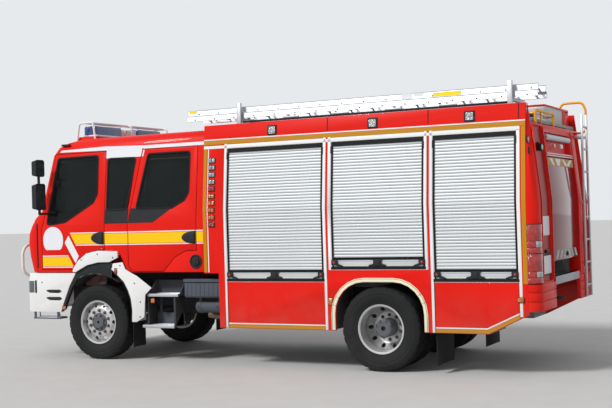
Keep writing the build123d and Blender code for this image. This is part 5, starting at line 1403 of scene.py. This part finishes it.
white_labels.slab(eased(rectangle(4.5, 4.64, 3.262, 3.33), 0.02), *LABEL_Y)
white_labels.block((4.655, 4.79), LABEL_Y, (3.285, 3.325))
made(white_labels, "ladder_white_labels", "truck", white_film, "aluminium")
rounded_node("ladder_gantry", ladder_metal, 0.005)
gear = Form()
for x in (2.26, 5.87):
    for y in (-0.99, -0.51):
        gear.block((x - 0.045, x + 0.045), (y - 0.028, y + 0.028), (2.942, 2.952))
        for u, v in ((-0.032, -0.018), (0.032, -0.018), (-0.032, 0.018), (0.032, 0.018)):
            gear.pin(0.0, 0.006, 0.007, (x + u, y + v, 2.952), 6, "Z")
    for y in (-0.945, -0.555):
        gear.pin(-0.02, 0.02, 0.019, (x, y, 3.166), 16, "X", hollow=0.004)
under = Form()
for y in (-0.975, -0.525):
    under.block((2.3, 5.83), (y - 0.01, y + 0.01), (3.118, 3.143))
for x in (1.9, 2.9, 3.6, 4.3, 5.0):
    gear.block((x, x + 0.22), (-0.985, -0.965), (3.146, 3.164))
made(gear, "gantry_fittings", "truck", drawn_metal, "aluminium", 0.0015)
made(under, "gantry_slides", "truck", plastic, "aluminium", 0.002)


# Rear ladder: two square aluminium stringers with round rungs, hooked over the roof edge and bolted to
# the rear wall on brackets, so that the crew can climb to the roof.
RUNG_X = 6.25
stringers = Form()
for y in (0.845, 1.095):
    stringers.block((RUNG_X - 0.014, RUNG_X + 0.014), (y - 0.014, y + 0.014), (0.754, 3.088))
    for z in (1.12, 1.96, 2.8):
        wall_x = 6.215 - LEAN * max(z - BODY_WALL[1], 0)
        stringers.block((wall_x, 6.24), (y - 0.01, y + 0.01), (z - 0.02, z + 0.02))
rear_ladder = made(stringers, "rear_ladder_stringers", "truck", ladder_metal, "aluminium", 0.004)
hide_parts("rear_ladder")
rear_rungs = Form()
for k in range(8):
    z = 0.9 + 0.29 * k
    rear_rungs.pin(0.0, 0.24, 0.0135, (RUNG_X, 0.85, z), 14)
    for j in range(9):
        rear_rungs.pin(-0.003, 0.003, 0.015, (RUNG_X, 0.874 + 0.0245 * j, z), 14, hollow=0.0125)
made(rear_rungs, "rear_ladder_rungs", "truck", ladder_metal, "aluminium")


# Roof locker: chequer plate, raised in rows of small lozenges, with a red lid edge. A yellow tube
# guards the blue lamp, and another is the handrail beside the ladder.
chequer = Finish("chequer_plate")
spot = chequer.place()
PLATE_CELLS = 26.0
HALF_TURN = 3.1416
cell_x, cell_y, cell_z = (chequer.axis(letter, spot) * PLATE_CELLS for letter in "XYZ")
across = chequer.sum("SINE", (cell_x + cell_y + cell_z) * HALF_TURN, 0.0)
along = chequer.sum("SINE", (cell_x - cell_y - cell_z) * HALF_TURN, 0.0)
raised = chequer.ramp(across * along, 0.25, 0.55)
chequer.set(
    Base_Color=chequer.blend(raised, (0.42, 0.43, 0.44), (0.68, 0.69, 0.7)),
    Metallic=0.75,
    Roughness=0.42 - 0.14 * raised + 0.1 * chequer.noise(12.0, 4.0),
    Normal=chequer.bump(raised, 0.003, 0.9),
)
rounded_node("roof_locker", chequer.material, 0.005)
lid_edge = Form()
lid_edge.block((5.694, 6.046), (-0.156, 0.986), (3.134, 3.156))
lid_edge.block((6.03, 6.046), (0.7, 0.986), (2.95, 3.134))
made(lid_edge, "locker_lid_edge", "truck", red_paint, "red_paint", 0.003)
yellow_paint = car_paint("yellow_paint", (0.85, 0.36, 0.004), dirt=0.2, worn=0.4)
GRAB = [(5.87, 3.1), (5.93, 3.26), (6.2, 3.26), (6.24, 3.16), (6.24, 2.86), (6.06, 2.86)]
GUARD = [(-0.84, 2.885), (-0.84, 3.035), (-0.03, 3.035), (-0.03, 2.885)]
LAMP_GUARD_X = 6.112
GRAB_Y = 1.127
TUBE = 0.0155
yellow_rails = Form().bar(bent([(x, GRAB_Y, z) for x, z in GRAB], 0.085, 7), TUBE, 12)
yellow_rails.bar(bent([(LAMP_GUARD_X, y, z) for y, z in GUARD], 0.05), TUBE, 12)
yellow_rails.bar([(LAMP_GUARD_X, -0.6, 3.028), (LAMP_GUARD_X, -0.6, 2.885)], 0.01, 10)
for y in (GUARD[0][0], GUARD[-1][0]):
    brace = [(LAMP_GUARD_X, y, 3.0), (5.96, y, 3.0), (5.94, y, 2.945)]
    yellow_rails.bar(bent(brace, 0.04, 5), 0.012, 10)
rails = made(yellow_rails, "yellow_rails", "truck", yellow_paint, "white_paint")
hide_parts("grab_rails")


# Light bar: an aluminium tray with two long blue plastic domes and a white speaker between them, and
# one more blue lamp at the back of the roof behind its yellow guard.
DOME_STEPS = 5


def dome(form, x, y, z, crown=0.04):
    """A long lens whose upright sides round over into the top."""
    outline = eased(rectangle(*x, *y), 0.03)
    rings = [[(u, v, z[0]) for u, v in outline]]
    for k in range(DOME_STEPS + 1):
        a = math.pi / 2 * k / DOME_STEPS
        shrink = grown(outline, -crown * 0.5 * (1 - math.cos(a)))
        rings.append([(u, v, z[1] - crown + crown * math.sin(a)) for u, v in shrink])
    form.skin(rings)


domes, speaker, tray, bands = Form(), Form(), Form(), Form()
for side in (-1, 1):
    y0, y1 = sorted((side * 0.19, side * 0.8))
    dome(domes, (-0.43, -0.21), (y0, y1), (3.126, 3.252))
    for k in range(4):
        y = y0 + 0.07 + 0.155 * k
        bands.block((-0.4315, -0.2085), (y, y + 0.006), (3.128, 3.214))
dome(domes, (5.984, 6.066), (-0.69, -0.18), (2.962, 3.028), 0.025)
dome(speaker, (-0.42, -0.22), (-0.182, 0.182), (3.126, 3.232), 0.03)
for k in range(6):
    speaker.block((-0.4235, -0.4185), (-0.15, 0.15), (3.14 + 0.013 * k, 3.146 + 0.013 * k))
horn = ((0.0, 0.02), (0.0, 0.048), (0.022, 0.04), (0.026, 0.03), (0.012, 0.02))
speaker.turned(horn, (-0.222, -0.1, 3.18), 24, "X")
tray.block((-0.436, -0.204), (-0.8, 0.8), (3.098, 3.126))
tray.block((5.98, 6.07), (-0.7, -0.17), (2.941, 2.964))
for y in (-0.7, -0.3, 0.3, 0.7):
    tray.block((-0.45, -0.19), (y - 0.025, y + 0.025), (3.097, 3.112))
blue = made(domes, "blue_lamps", "truck", blue_lens, "blue_lens", smooth=40)
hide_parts("beacon_bar")
made(bands, "blue_lamp_ribs", "truck", blue_lens, "blue_lens", 0.001)
made(speaker, "light_bar_speaker", "truck", white_paint, "white_paint", 0.001)
made(tray, "light_bar_tray", "truck", drawn_metal, "aluminium", 0.003)


# Rear wall: the flap over the pump is glossy dark red, between raised red edges. Pale chevrons on a
# gold band cross its top, slanting grey stripes its foot, and the step bar is below it.
wine = Finish("wine_flap")
cloud = wine.noise(1.6, 3.0, 0.5)
wine.set(
    Base_Color=wine.blend(cloud, (0.17, 0.008, 0.014), (0.22, 0.014, 0.024)),
    Roughness=0.07 + 0.03 * cloud,
    Coat_Weight=0.35,
    Coat_Roughness=0.02,
)
rounded_node("rear_flap", wine.material, 0.005)
FLAP_FACE = 6.22
REAR_BEND = BODY_WALL[1]
UNDER = 0.004
SUNK = 0.025


def rear_x(z):
    """Where the rear wall stands at a height: it leans forwards above the same bend as the sides."""
    return FLAP_FACE - LEAN * max(z - REAR_BEND, 0)


def on_rear(form, outline, proud, sunk=0.0):
    """A plate on the rear wall, or on its sunk panel, drawn as (y, z)."""
    folded(form, outline, REAR_BEND, lambda y, z, out: (rear_x(z) - sunk + out, y, z), (-UNDER, proud))


# A darker red: painted shade for the sunk panel between the raised edges.
painted_shade_red = car_paint("painted_shade_red", (0.34, 0.012, 0.012))
grey_strip = car_paint("grey_strip", (0.42, 0.44, 0.46))
shade_sheets, edges, golds, chevrons, strips, greys = Form(), Form(), Form(), Form(), Form(), Form()
on_rear(golds, rectangle(-0.6, 0.6, 2.398, 2.492), 0.002)
CHEVRONS = (
    (-0.52, -0.385, -0.3, -0.365),
    (-0.255, 0.005, -0.075, -0.175),
    (0.075, 0.15, 0.33, 0.195),
    (0.56, 0.43, 0.25, 0.385),
)
for a, b, c, d in CHEVRONS:
    on_rear(chevrons, [(a, 2.486), (b, 2.486), (c, 2.404), (d, 2.404)], 0.0034)
made(golds, "flap_gold_band", "rear_flap", gold_film, "red_paint")
made(chevrons, "flap_chevrons", "rear_flap", white_film, "red_paint")
for y in (-0.52, -0.345, -0.17, 0.005, 0.18, 0.355):
    foot, top = (y, y + 0.085) if y < 0 else (y + 0.085, y)
    on_rear(strips, [(foot, 1.3), (foot + 0.08, 1.3), (top + 0.08, 1.4), (top, 1.4)], 0.0022)
made(strips, "flap_hazard_stripes", "rear_flap", grey_strip, "red_paint")
LOCK = ((0.0, 0.0), (0.0, 0.03), (0.01, 0.028), (0.014, 0.02), (0.014, 0.0))
lock = Form().turned(LOCK, (FLAP_FACE - 0.002, 0.0, 1.345), 24, "X")
lock.block((FLAP_FACE, FLAP_FACE + 0.02), (-0.01, 0.01), (1.325, 1.365))
made(lock, "flap_lock", "rear_flap", plastic, "trim", 0.002)
for y in (-1.091, -0.648, 0.655):
    on_rear(edges, rectangle(y - 0.011, y + 0.011, 1.075, 2.84), 0.01)
made(edges, "rear_raised_edges", "truck", red_paint, "red_paint", 0.004)
for z in (2.512, 2.536):
    on_rear(greys, rectangle(-0.6, 0.6, z, z + 0.012), 0.012)
made(greys, "rear_grey_strips", "truck", drawn_metal, "aluminium", 0.002)
# The sunk panel is laid over with the darker red sheet: painted shade in the recess.
on_rear(shade_sheets, rectangle(-1.078, -0.667, 1.068, 2.845), 0.0015, SUNK)
made(shade_sheets, "sunk_panel_shade_sheet", "truck", painted_shade_red, "red_paint")
plates, plate_frames, plate_blues = Form(), Form(), Form()
on_rear(plates, eased(rectangle(-1.04, -0.7, 1.59, 1.81), 0.008), 0.004, SUNK)
on_rear(plate_frames, eased(rectangle(-1.062, -0.684, 1.135, 1.375), 0.012), 0.01, SUNK)
on_rear(plates, eased(rectangle(-1.03, -0.698, 1.152, 1.358), 0.008), 0.0125, SUNK)
on_rear(plate_blues, rectangle(-1.046, -1.032, 1.155, 1.355), 0.0125, SUNK)
made(plate_frames, "plate_frame", "truck", plastic, "trim", 0.002)
made(plates, "blank_plates", "truck", white_film, "white_paint", 0.001)
made(plate_blues, "plate_edge", "truck", blue_lens, "blue_lens")
ARM_LAMP = ((-0.02, 0.0), (-0.02, 0.04), (0.01, 0.046), (0.03, 0.046), (0.03, 0.038), (0.018, 0.0))
CORNER_LAMP = ((0.0, 0.0), (0.0, 0.044), (0.012, 0.042), (0.014, 0.032), (0.006, 0.0))
ROUND_LENS = ((0.0, 0.0), (0.0, 0.036), (0.006, 0.034), (0.01, 0.02), (0.011, 0.0))
ARM_LAMP_PLACE = (-0.88, 2.6)
work = Form().turned(ARM_LAMP, (6.165, *ARM_LAMP_PLACE), 24, "X")
work.block((6.11, 6.16), (-0.895, -0.865), (2.56, 2.66))
work.slab(eased(rectangle(-0.935, -0.8, 1.385, 1.425), 0.012), 6.18, 6.222, "X")
for y, z in ((-1.16, 2.68), (-1.158, 2.555)):
    work.turned(CORNER_LAMP, (rear_x(z) - 0.052, y, z), 24, "X")
made(work, "rear_work_lamps", "truck", plastic, "lamp", 0.002)
eyes = Form().turned(ROUND_LENS, (6.188, *ARM_LAMP_PLACE), 24, "X")
eyes.turned(ROUND_LENS, (rear_x(2.68) - 0.042, -1.16, 2.68), 24, "X")
on_rear(eyes, eased(rectangle(0.02, 0.13, 2.618, 2.668), 0.012), 0.02)
made(eyes, "rear_clear_lamps", "truck", clear_lens, "lamp", 0.002)
amber = Form()
on_rear(amber, eased(rectangle(-0.27, -0.19, 2.622, 2.662), 0.012), 0.014)
made(amber, "rear_amber_lamp", "truck", amber_lens, "lamp", 0.002)

clusters, cluster_case, cluster_clear = Form(), Form(), Form()
CORNER = [
    (6.088, 1.262), (6.12, 1.2615), (6.156, 1.256), (6.19, 1.24), (6.214, 1.214), (6.2275, 1.18),
    (6.2285, 1.135), (6.2, 1.135), (6.17, 1.2), (6.12, 1.232), (6.088, 1.236),
]
CLEAR_CORNER = [(6.158, 1.254), *CORNER[3:6], (6.2285, 1.137), (6.2, 1.137), (6.155, 1.205)]
RED_CORNER = [*CORNER[:4], (6.15, 1.205), *CORNER[-2:]]
cluster_case.slab([(x - (0.004 if x > 6.1 else 0), y - 0.003) for x, y in CORNER], 1.055, 1.73, "Z")
for z0, z1 in ((1.066, 1.128), (1.2, 1.392), (1.4, 1.462), (1.54, 1.722)):
    clusters.slab(CORNER, z0, z1, "Z")
for z0, z1 in ((1.132, 1.196), (1.466, 1.536)):
    clusters.slab(RED_CORNER, z0, z1, "Z")
    cluster_clear.slab(CLEAR_CORNER, z0, z1, "Z")
split = [(x + (0.0005 if x > 6.1 else 0), y + 0.0005) for x, y in CORNER]
for z in (1.13, 1.198, 1.396, 1.464, 1.538):
    cluster_case.slab(split, z - 0.002, z + 0.002, "Z")
paired(cluster_case, "tail_lamp_cases", plastic, "lamp", 0.001)
paired(clusters, "tail_lamps", red_lens, "lamp", 0.002)
paired(cluster_clear, "tail_lamp_clears", clear_lens, "lamp", 0.002)

ROLLER_RIB = ((-0.006, 0.0335), (-0.002, 0.036), (0.006, 0.036), (0.01, 0.0335))
ROLLER_HALF = 0.555
ROLLER_R = 0.0335
ribs = [(0.0277 * k + shift - ROLLER_HALF, r) for k in range(1, 40) for shift, r in ROLLER_RIB]
ends = [(ROLLER_HALF, ROLLER_R), (ROLLER_HALF, 0.0)]
rows = [(-ROLLER_HALF, 0.0), (-ROLLER_HALF, ROLLER_R), *ribs, *ends]
roller = Form().turned(rows, (6.138, 0.0, 2.735), 24)
roller = made(roller, "rear_roller_drum", "truck", ladder_metal, "aluminium", smooth=50)
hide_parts("rear_roller")
bar = Form()
bar.block((6.146, 6.2265), (-0.575, 0.575), (1.006, 1.1))
bar.block((6.227, 6.229), (-0.56, 0.56), (1.072, 1.096))
made(bar, "step_bar_strip", "truck", grey_strip, "aluminium", 0.003)
rounded_node("pump", inner_metal, 0.01)


# Seats: foam pads under woven grey cloth, sewn with channels, on painted steel boxes. Each pad is cut
# slimmer than its solid, blown up with Blender's cloth, and then has its seams pressed in.
fabric = Finish("seat_fabric")
THREADS = 1100.0
weft = fabric.sum("SINE", fabric.axis("Y") * THREADS, 0.0)
warp = fabric.sum("SINE", (fabric.axis("X") + fabric.axis("Z")) * THREADS, 0.0)
rubbed = fabric.noise(7.0, 5.0, 0.6)
woven = fabric.ramp(rubbed + 0.15 * weft * warp, 0.3, 0.7)
fabric.set(
    Base_Color=fabric.blend(woven, (0.04, 0.045, 0.055), (0.085, 0.092, 0.105)),
    Roughness=0.8 + 0.1 * rubbed,
    Specular_IOR_Level=0.15,
    Normal=fabric.bump(weft * warp, 0.0008, 0.5),
)
FOAM_CELL = 0.018
FOAM_SLIM = 0.013
FOAM_SWELL = 0.018
FOAM_PRESSURE = 4.0
FOAM_FRAMES = 20
SEAM_DEEP = 0.008
SEAM_HALF = 0.014


def settled(thing):
    """The mesh that a thing's modifiers give now; the modifiers are then gone."""
    mesh = bpy.data.meshes.new_from_object(thing.evaluated_get(bpy.context.evaluated_depsgraph_get()))
    thing.modifiers.clear()
    thing.data = mesh
    return mesh


def foam_pad(name, outline, y, seams):
    """A pad with its outline in x and z, pushed across y and swollen. A seam is a plane that dents it."""
    form = Form().slab(eased(grown(outline, -FOAM_SLIM), 0.04), y[0] + FOAM_SLIM, y[1] - FOAM_SLIM)
    mesh = bpy.data.meshes.new(name)
    mesh.from_pydata(form.points, [], form.faces)
    pad = bpy.data.objects.new(name, mesh)
    bpy.context.scene.collection.objects.link(pad)
    cells = pad.modifiers.new("cells", "REMESH")
    cells.mode = "VOXEL"
    cells.voxel_size = FOAM_CELL
    mesh = settled(pad)
    before = [vertex.co.copy() for vertex in mesh.vertices]
    cloth = pad.modifiers.new("cloth", "CLOTH").settings
    cloth.use_pressure = True
    cloth.uniform_pressure_force = FOAM_PRESSURE
    cloth.effector_weights.gravity = 0.0
    for moment in range(1, FOAM_FRAMES + 1):
        bpy.context.scene.frame_set(moment)
    mesh = settled(pad)
    for vertex, start in zip(mesh.vertices, before):
        move = vertex.co - start
        if move.length > FOAM_SWELL:
            vertex.co = start + move.normalized() * FOAM_SWELL
    finer = pad.modifiers.new("finer", "SUBSURF")
    finer.levels = 1
    finer.render_levels = 1
    mesh = settled(pad)
    outwards = [vertex.normal.copy() for vertex in mesh.vertices]
    for vertex, out in zip(mesh.vertices, outwards):
        dents = [(vertex.co - Vector(point)).dot(Vector(normal)) / SEAM_HALF for point, normal in seams]
        vertex.co -= out * SEAM_DEEP * max(math.exp(-(dent ** 2)) for dent in dents)
    bpy.data.objects.remove(pad)
    return mesh


def pads(name, outline, y, seams, shifts):
    """The same pad at each of the places across the cab."""
    whole = foam_pad(name, outline, y, seams)
    for number, shift in enumerate(shifts):
        mesh = whole.copy()
        for vertex in mesh.vertices:
            vertex.co += Vector((-MID, shift, 0.0))
        piece = shown(mesh, f"{name}_{number}", "truck", fabric.material, slot_of("seats"), 60)


seat_boxes = Form()
seat_boxes.block((-0.3, 0.06), (0.4, 0.61), (1.25, 1.52))
seat_boxes.block((-0.3, 0.06), (0.63, 0.76), (1.47, 1.52))
seat_boxes.block((1.1, 1.52), (0.0, 0.9), (1.25, 1.5))
seat_boxes = paired(seat_boxes, "seat_boxes", chassis_black, slot_of("seats"), 0.006)
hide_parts("seats")


def seam(**place):
    """A seam across one axis: a point of its plane and the plane's direction."""
    point = [place.get(letter, 0.0) for letter in "xyz"]
    return point, [1.0 if letter in place else 0.0 for letter in "xyz"]


FRONT_SEATS = ((0.32, 0.82), (0.0, -1.14))
BENCH_SEATS = ((0.335, 0.995), (0.0, -0.665, -1.33))
side_seams = [seam(y=0.43), seam(y=0.71)]
bench_seams = [seam(y=0.455), seam(y=0.875)]
front_back = [(0.06, 1.65), (0.18, 1.65), (0.33, 2.35), (0.23, 2.35)]
PADS = {
    "front_cushion": (rectangle(-0.38, 0.12, 1.52, 1.65), side_seams + [seam(x=-0.15)], FRONT_SEATS),
    "front_back": (front_back, side_seams + [seam(z=2.08)], FRONT_SEATS),
    "bench_cushion": (rectangle(1.05, 1.55, 1.5, 1.63), bench_seams, BENCH_SEATS),
    "bench_back": (rectangle(1.455, 1.6, 1.63, 2.3), bench_seams + [seam(z=2.08)], BENCH_SEATS),
}
for name, (outline, seams, (across, shifts)) in PADS.items():
    pads(name, outline, across, seams, shifts)


# Dashboard: a grained grey moulding over a steel beam, with a hooded dial panel, air vents, a row of
# switches and a glove box. The steering wheel is foam over a steel ring on three flat spokes.
grained = Finish("dash_grain")
dust = grained.noise(5.0, 5.0, 0.6)
grained.set(
    Base_Color=grained.blend(dust, (0.045, 0.047, 0.05), (0.075, 0.077, 0.08)),
    Roughness=0.62 + 0.15 * dust,
    Specular_IOR_Level=0.2,
    Normal=grained.bump(grained.noise(700.0, 2.0), 0.0006, 0.5),
)
rounded_node("dashboard", grained.material, 0.008, 2)
RIM_CENTRE = Vector((-0.56, -0.56, 1.96))
RIM_NORMAL = Vector((0.57, 0.0, 0.82)).normalized()
RIM_UP = Vector((-RIM_NORMAL.z, 0.0, RIM_NORMAL.x))
RIM_R = 0.215


def round_rim(radius, along, steps):
    """A ring about the steering column, so far along it from the wheel's centre."""
    turns = [math.tau * k / steps for k in range(steps)]
    middle = RIM_CENTRE + RIM_NORMAL * along
    return [middle + Vector((0, radius * math.cos(a), 0)) + RIM_UP * radius * math.sin(a) for a in turns]


rim = Form().bar(round_rim(RIM_R, 0.016, 40), 0.0175, 12, closed=True)
for a in (math.radians(10), math.radians(170), math.radians(270)):
    way = Vector((0, math.cos(a), 0)) + RIM_UP * math.sin(a)
    spoke = [RIM_CENTRE + RIM_NORMAL * 0.02 + way * 0.03, RIM_CENTRE + RIM_NORMAL * 0.018 + way * 0.205]
    rim.bar(spoke, 0.018, 8, flat=0.4)
hub_rows = ((0.012, 0.0), (0.012, 0.07), (0.036, 0.062), (0.046, 0.036), (0.047, 0.0))
rim.skin([round_rim(r, along, 24) for along, r in hub_rows])
made(rim, "steering_wheel_foam", "truck", plastic, slot_of("dashboard"))
dials, switches, dial_glass = Form(), Form(), Form()
HOOD = [(-0.69, 1.872), (-0.655, 1.872), (-0.668, 1.905), (-0.76, 1.958), (-0.9, 1.95), (-0.9, 1.892)]
dials.slab(eased(HOOD, 0.008), -0.8, -0.32)
dial_glass.slab([(-0.676, 1.885), (-0.668, 1.885), (-0.742, 1.945), (-0.75, 1.943)], -0.775, -0.345)
for y in (-0.95, -0.2, 0.2, 0.95):
    for k in range(5):
        z = 1.74 + 0.022 * k
        x = -0.62 - 0.04 * (z - 1.7) / 0.18
        switches.block((x - 0.006, x + 0.004), (y - 0.075, y + 0.075), (z, z + 0.01))
for k in range(8):
    y = -0.14 + 0.036 * k
    switches.block((-0.632, -0.612), (y, y + 0.028), (1.69, 1.722))
switches.block((-0.668, -0.655), (0.35, 0.8), (1.56, 1.566))
switches.block((-0.634, -0.622), (0.35, 0.8), (1.688, 1.694))
switches.bar([(-0.62, -0.2, 1.66), (-0.52, -0.17, 1.7), (-0.47, -0.16, 1.8)], 0.01, 8)
made(dials, "dial_hood", "truck", grained.material, slot_of("dashboard"), 0.004)
made(dial_glass, "dial_glass", "truck", tinted.material, slot_of("dashboard"), 0.001)
made(switches, "vents_and_switches", "truck", plastic, slot_of("dashboard"), 0.0015)


# Cab front: a black rubber moulding round the bonded windscreen, two wiper arms with rubber blades, a
# blank plate on the bumper, a grab bar under each side of the screen, and the mount under the cab.
def front_of(*nodes):
    """The faces of some nodes, to be met by a ray from the front."""
    points, faces = [], []
    for node in nodes:
        mesh = frame["nodes"][node].data
        faces += [[len(points) + i for i in face.vertices] for face in mesh.polygons]
        points += [vertex.co.copy() for vertex in mesh.vertices]
    return BVHTree.FromPolygons(points, faces)


FRONTS = front_of("cab_shell", "front_panel", "cab_glass")


def on_front(y, z, out=0.0):
    """A point on the cab's front, out from it towards the road ahead."""
    place = FRONTS.ray_cast(Vector((-6.0, y, z)), Vector((1.0, 0.0, 0.0)))[0]
    return Vector((place.x + MID - out, y, z))


LONG_SIDE = 0.3
SCREEN_EDGE = [(-1.0, 2.075), (1.0, 2.075), (0.91, 2.79), (-0.91, 2.79)]
edge = eased(grown(SCREEN_EDGE, 0.008), 0.07, 6)
screen_path = []
for corner, after in zip(edge, edge[1:] + edge[:1]):
    screen_path.append(corner)
    if math.dist(corner, after) > LONG_SIDE:
        parts = 8 if after is edge[0] else 12
        screen_path += [tuple(Vector(corner).lerp(Vector(after), k / parts)) for k in range(1, parts)]
screen_rubber = Form().bar([on_front(y, z, 0.001) for y, z in screen_path], 0.009, 8, closed=True)
made(screen_rubber, "windscreen_rubber", "truck", gasket_rubber, "trim")
wipers = Form()
for pivot in (0.42, -0.42):
    blade = [on_front(pivot - 0.06 + 0.09 * k, 2.112 + 0.004 * k, 0.014) for k in range(7)]
    wipers.bar(blade, 0.007, 6, flat=0.6)
    foot = on_front(pivot, 2.04, 0.006)
    middle = blade[len(blade) // 2]
    wipers.bar([foot, foot + Vector((-0.022, 0.04, 0.012)), middle + Vector((-0.012, 0.0, 0.0))], 0.007, 6)
    wipers.turned(((-0.02, 0.0), (-0.02, 0.017), (0.016, 0.022), (0.016, 0.0)), foot, 16, "X")
made(wipers, "windscreen_wipers", "truck", plastic, "trim")
BAR_Z = 1.915
bars = Form()
for y in (0.56, 0.9):
    bars.pin(-0.006, 0.004, 0.016, on_front(y, BAR_Z), axis="X")
grip = ((0.56, 0.0), (0.575, 0.034), (0.73, 0.036), (0.885, 0.034), (0.9, 0.0))
bars.bar([on_front(y, BAR_Z, out) for y, out in grip], 0.009, 8)
paired(bars, "front_grab_bars", plastic, "trim")
SCREW = ((-0.004, 0.0), (-0.004, 0.007), (0.0, 0.009), (0.0, 0.0))
plate = Form().slab(eased(rectangle(-0.26, 0.26, 0.742, 0.852), 0.012), -1.306, -1.299, "X")
for y in (-0.236, 0.236):
    plate.turned(SCREW, (-1.306, y, 0.797), 12, "X")
made(plate, "front_blank_plate", "truck", white_paint, "white_paint", 0.002)
cross_beam = Form().block((1.6, 1.78), (-0.7, 0.7), (1.02, 1.192))
for y in (-0.64, 0.64):
    cross_beam.pin(-0.05, 0.05, 0.06, (1.69, y, 1.08), 20)
TUNNEL = ((0.62, 1.5), (-0.34, 0.34), (0.95, 1.188))
cross_beam.block(*TUNNEL)
made(cross_beam, "cab_rear_mount", "truck", chassis_black, "chassis_paint", 0.006)

low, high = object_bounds()
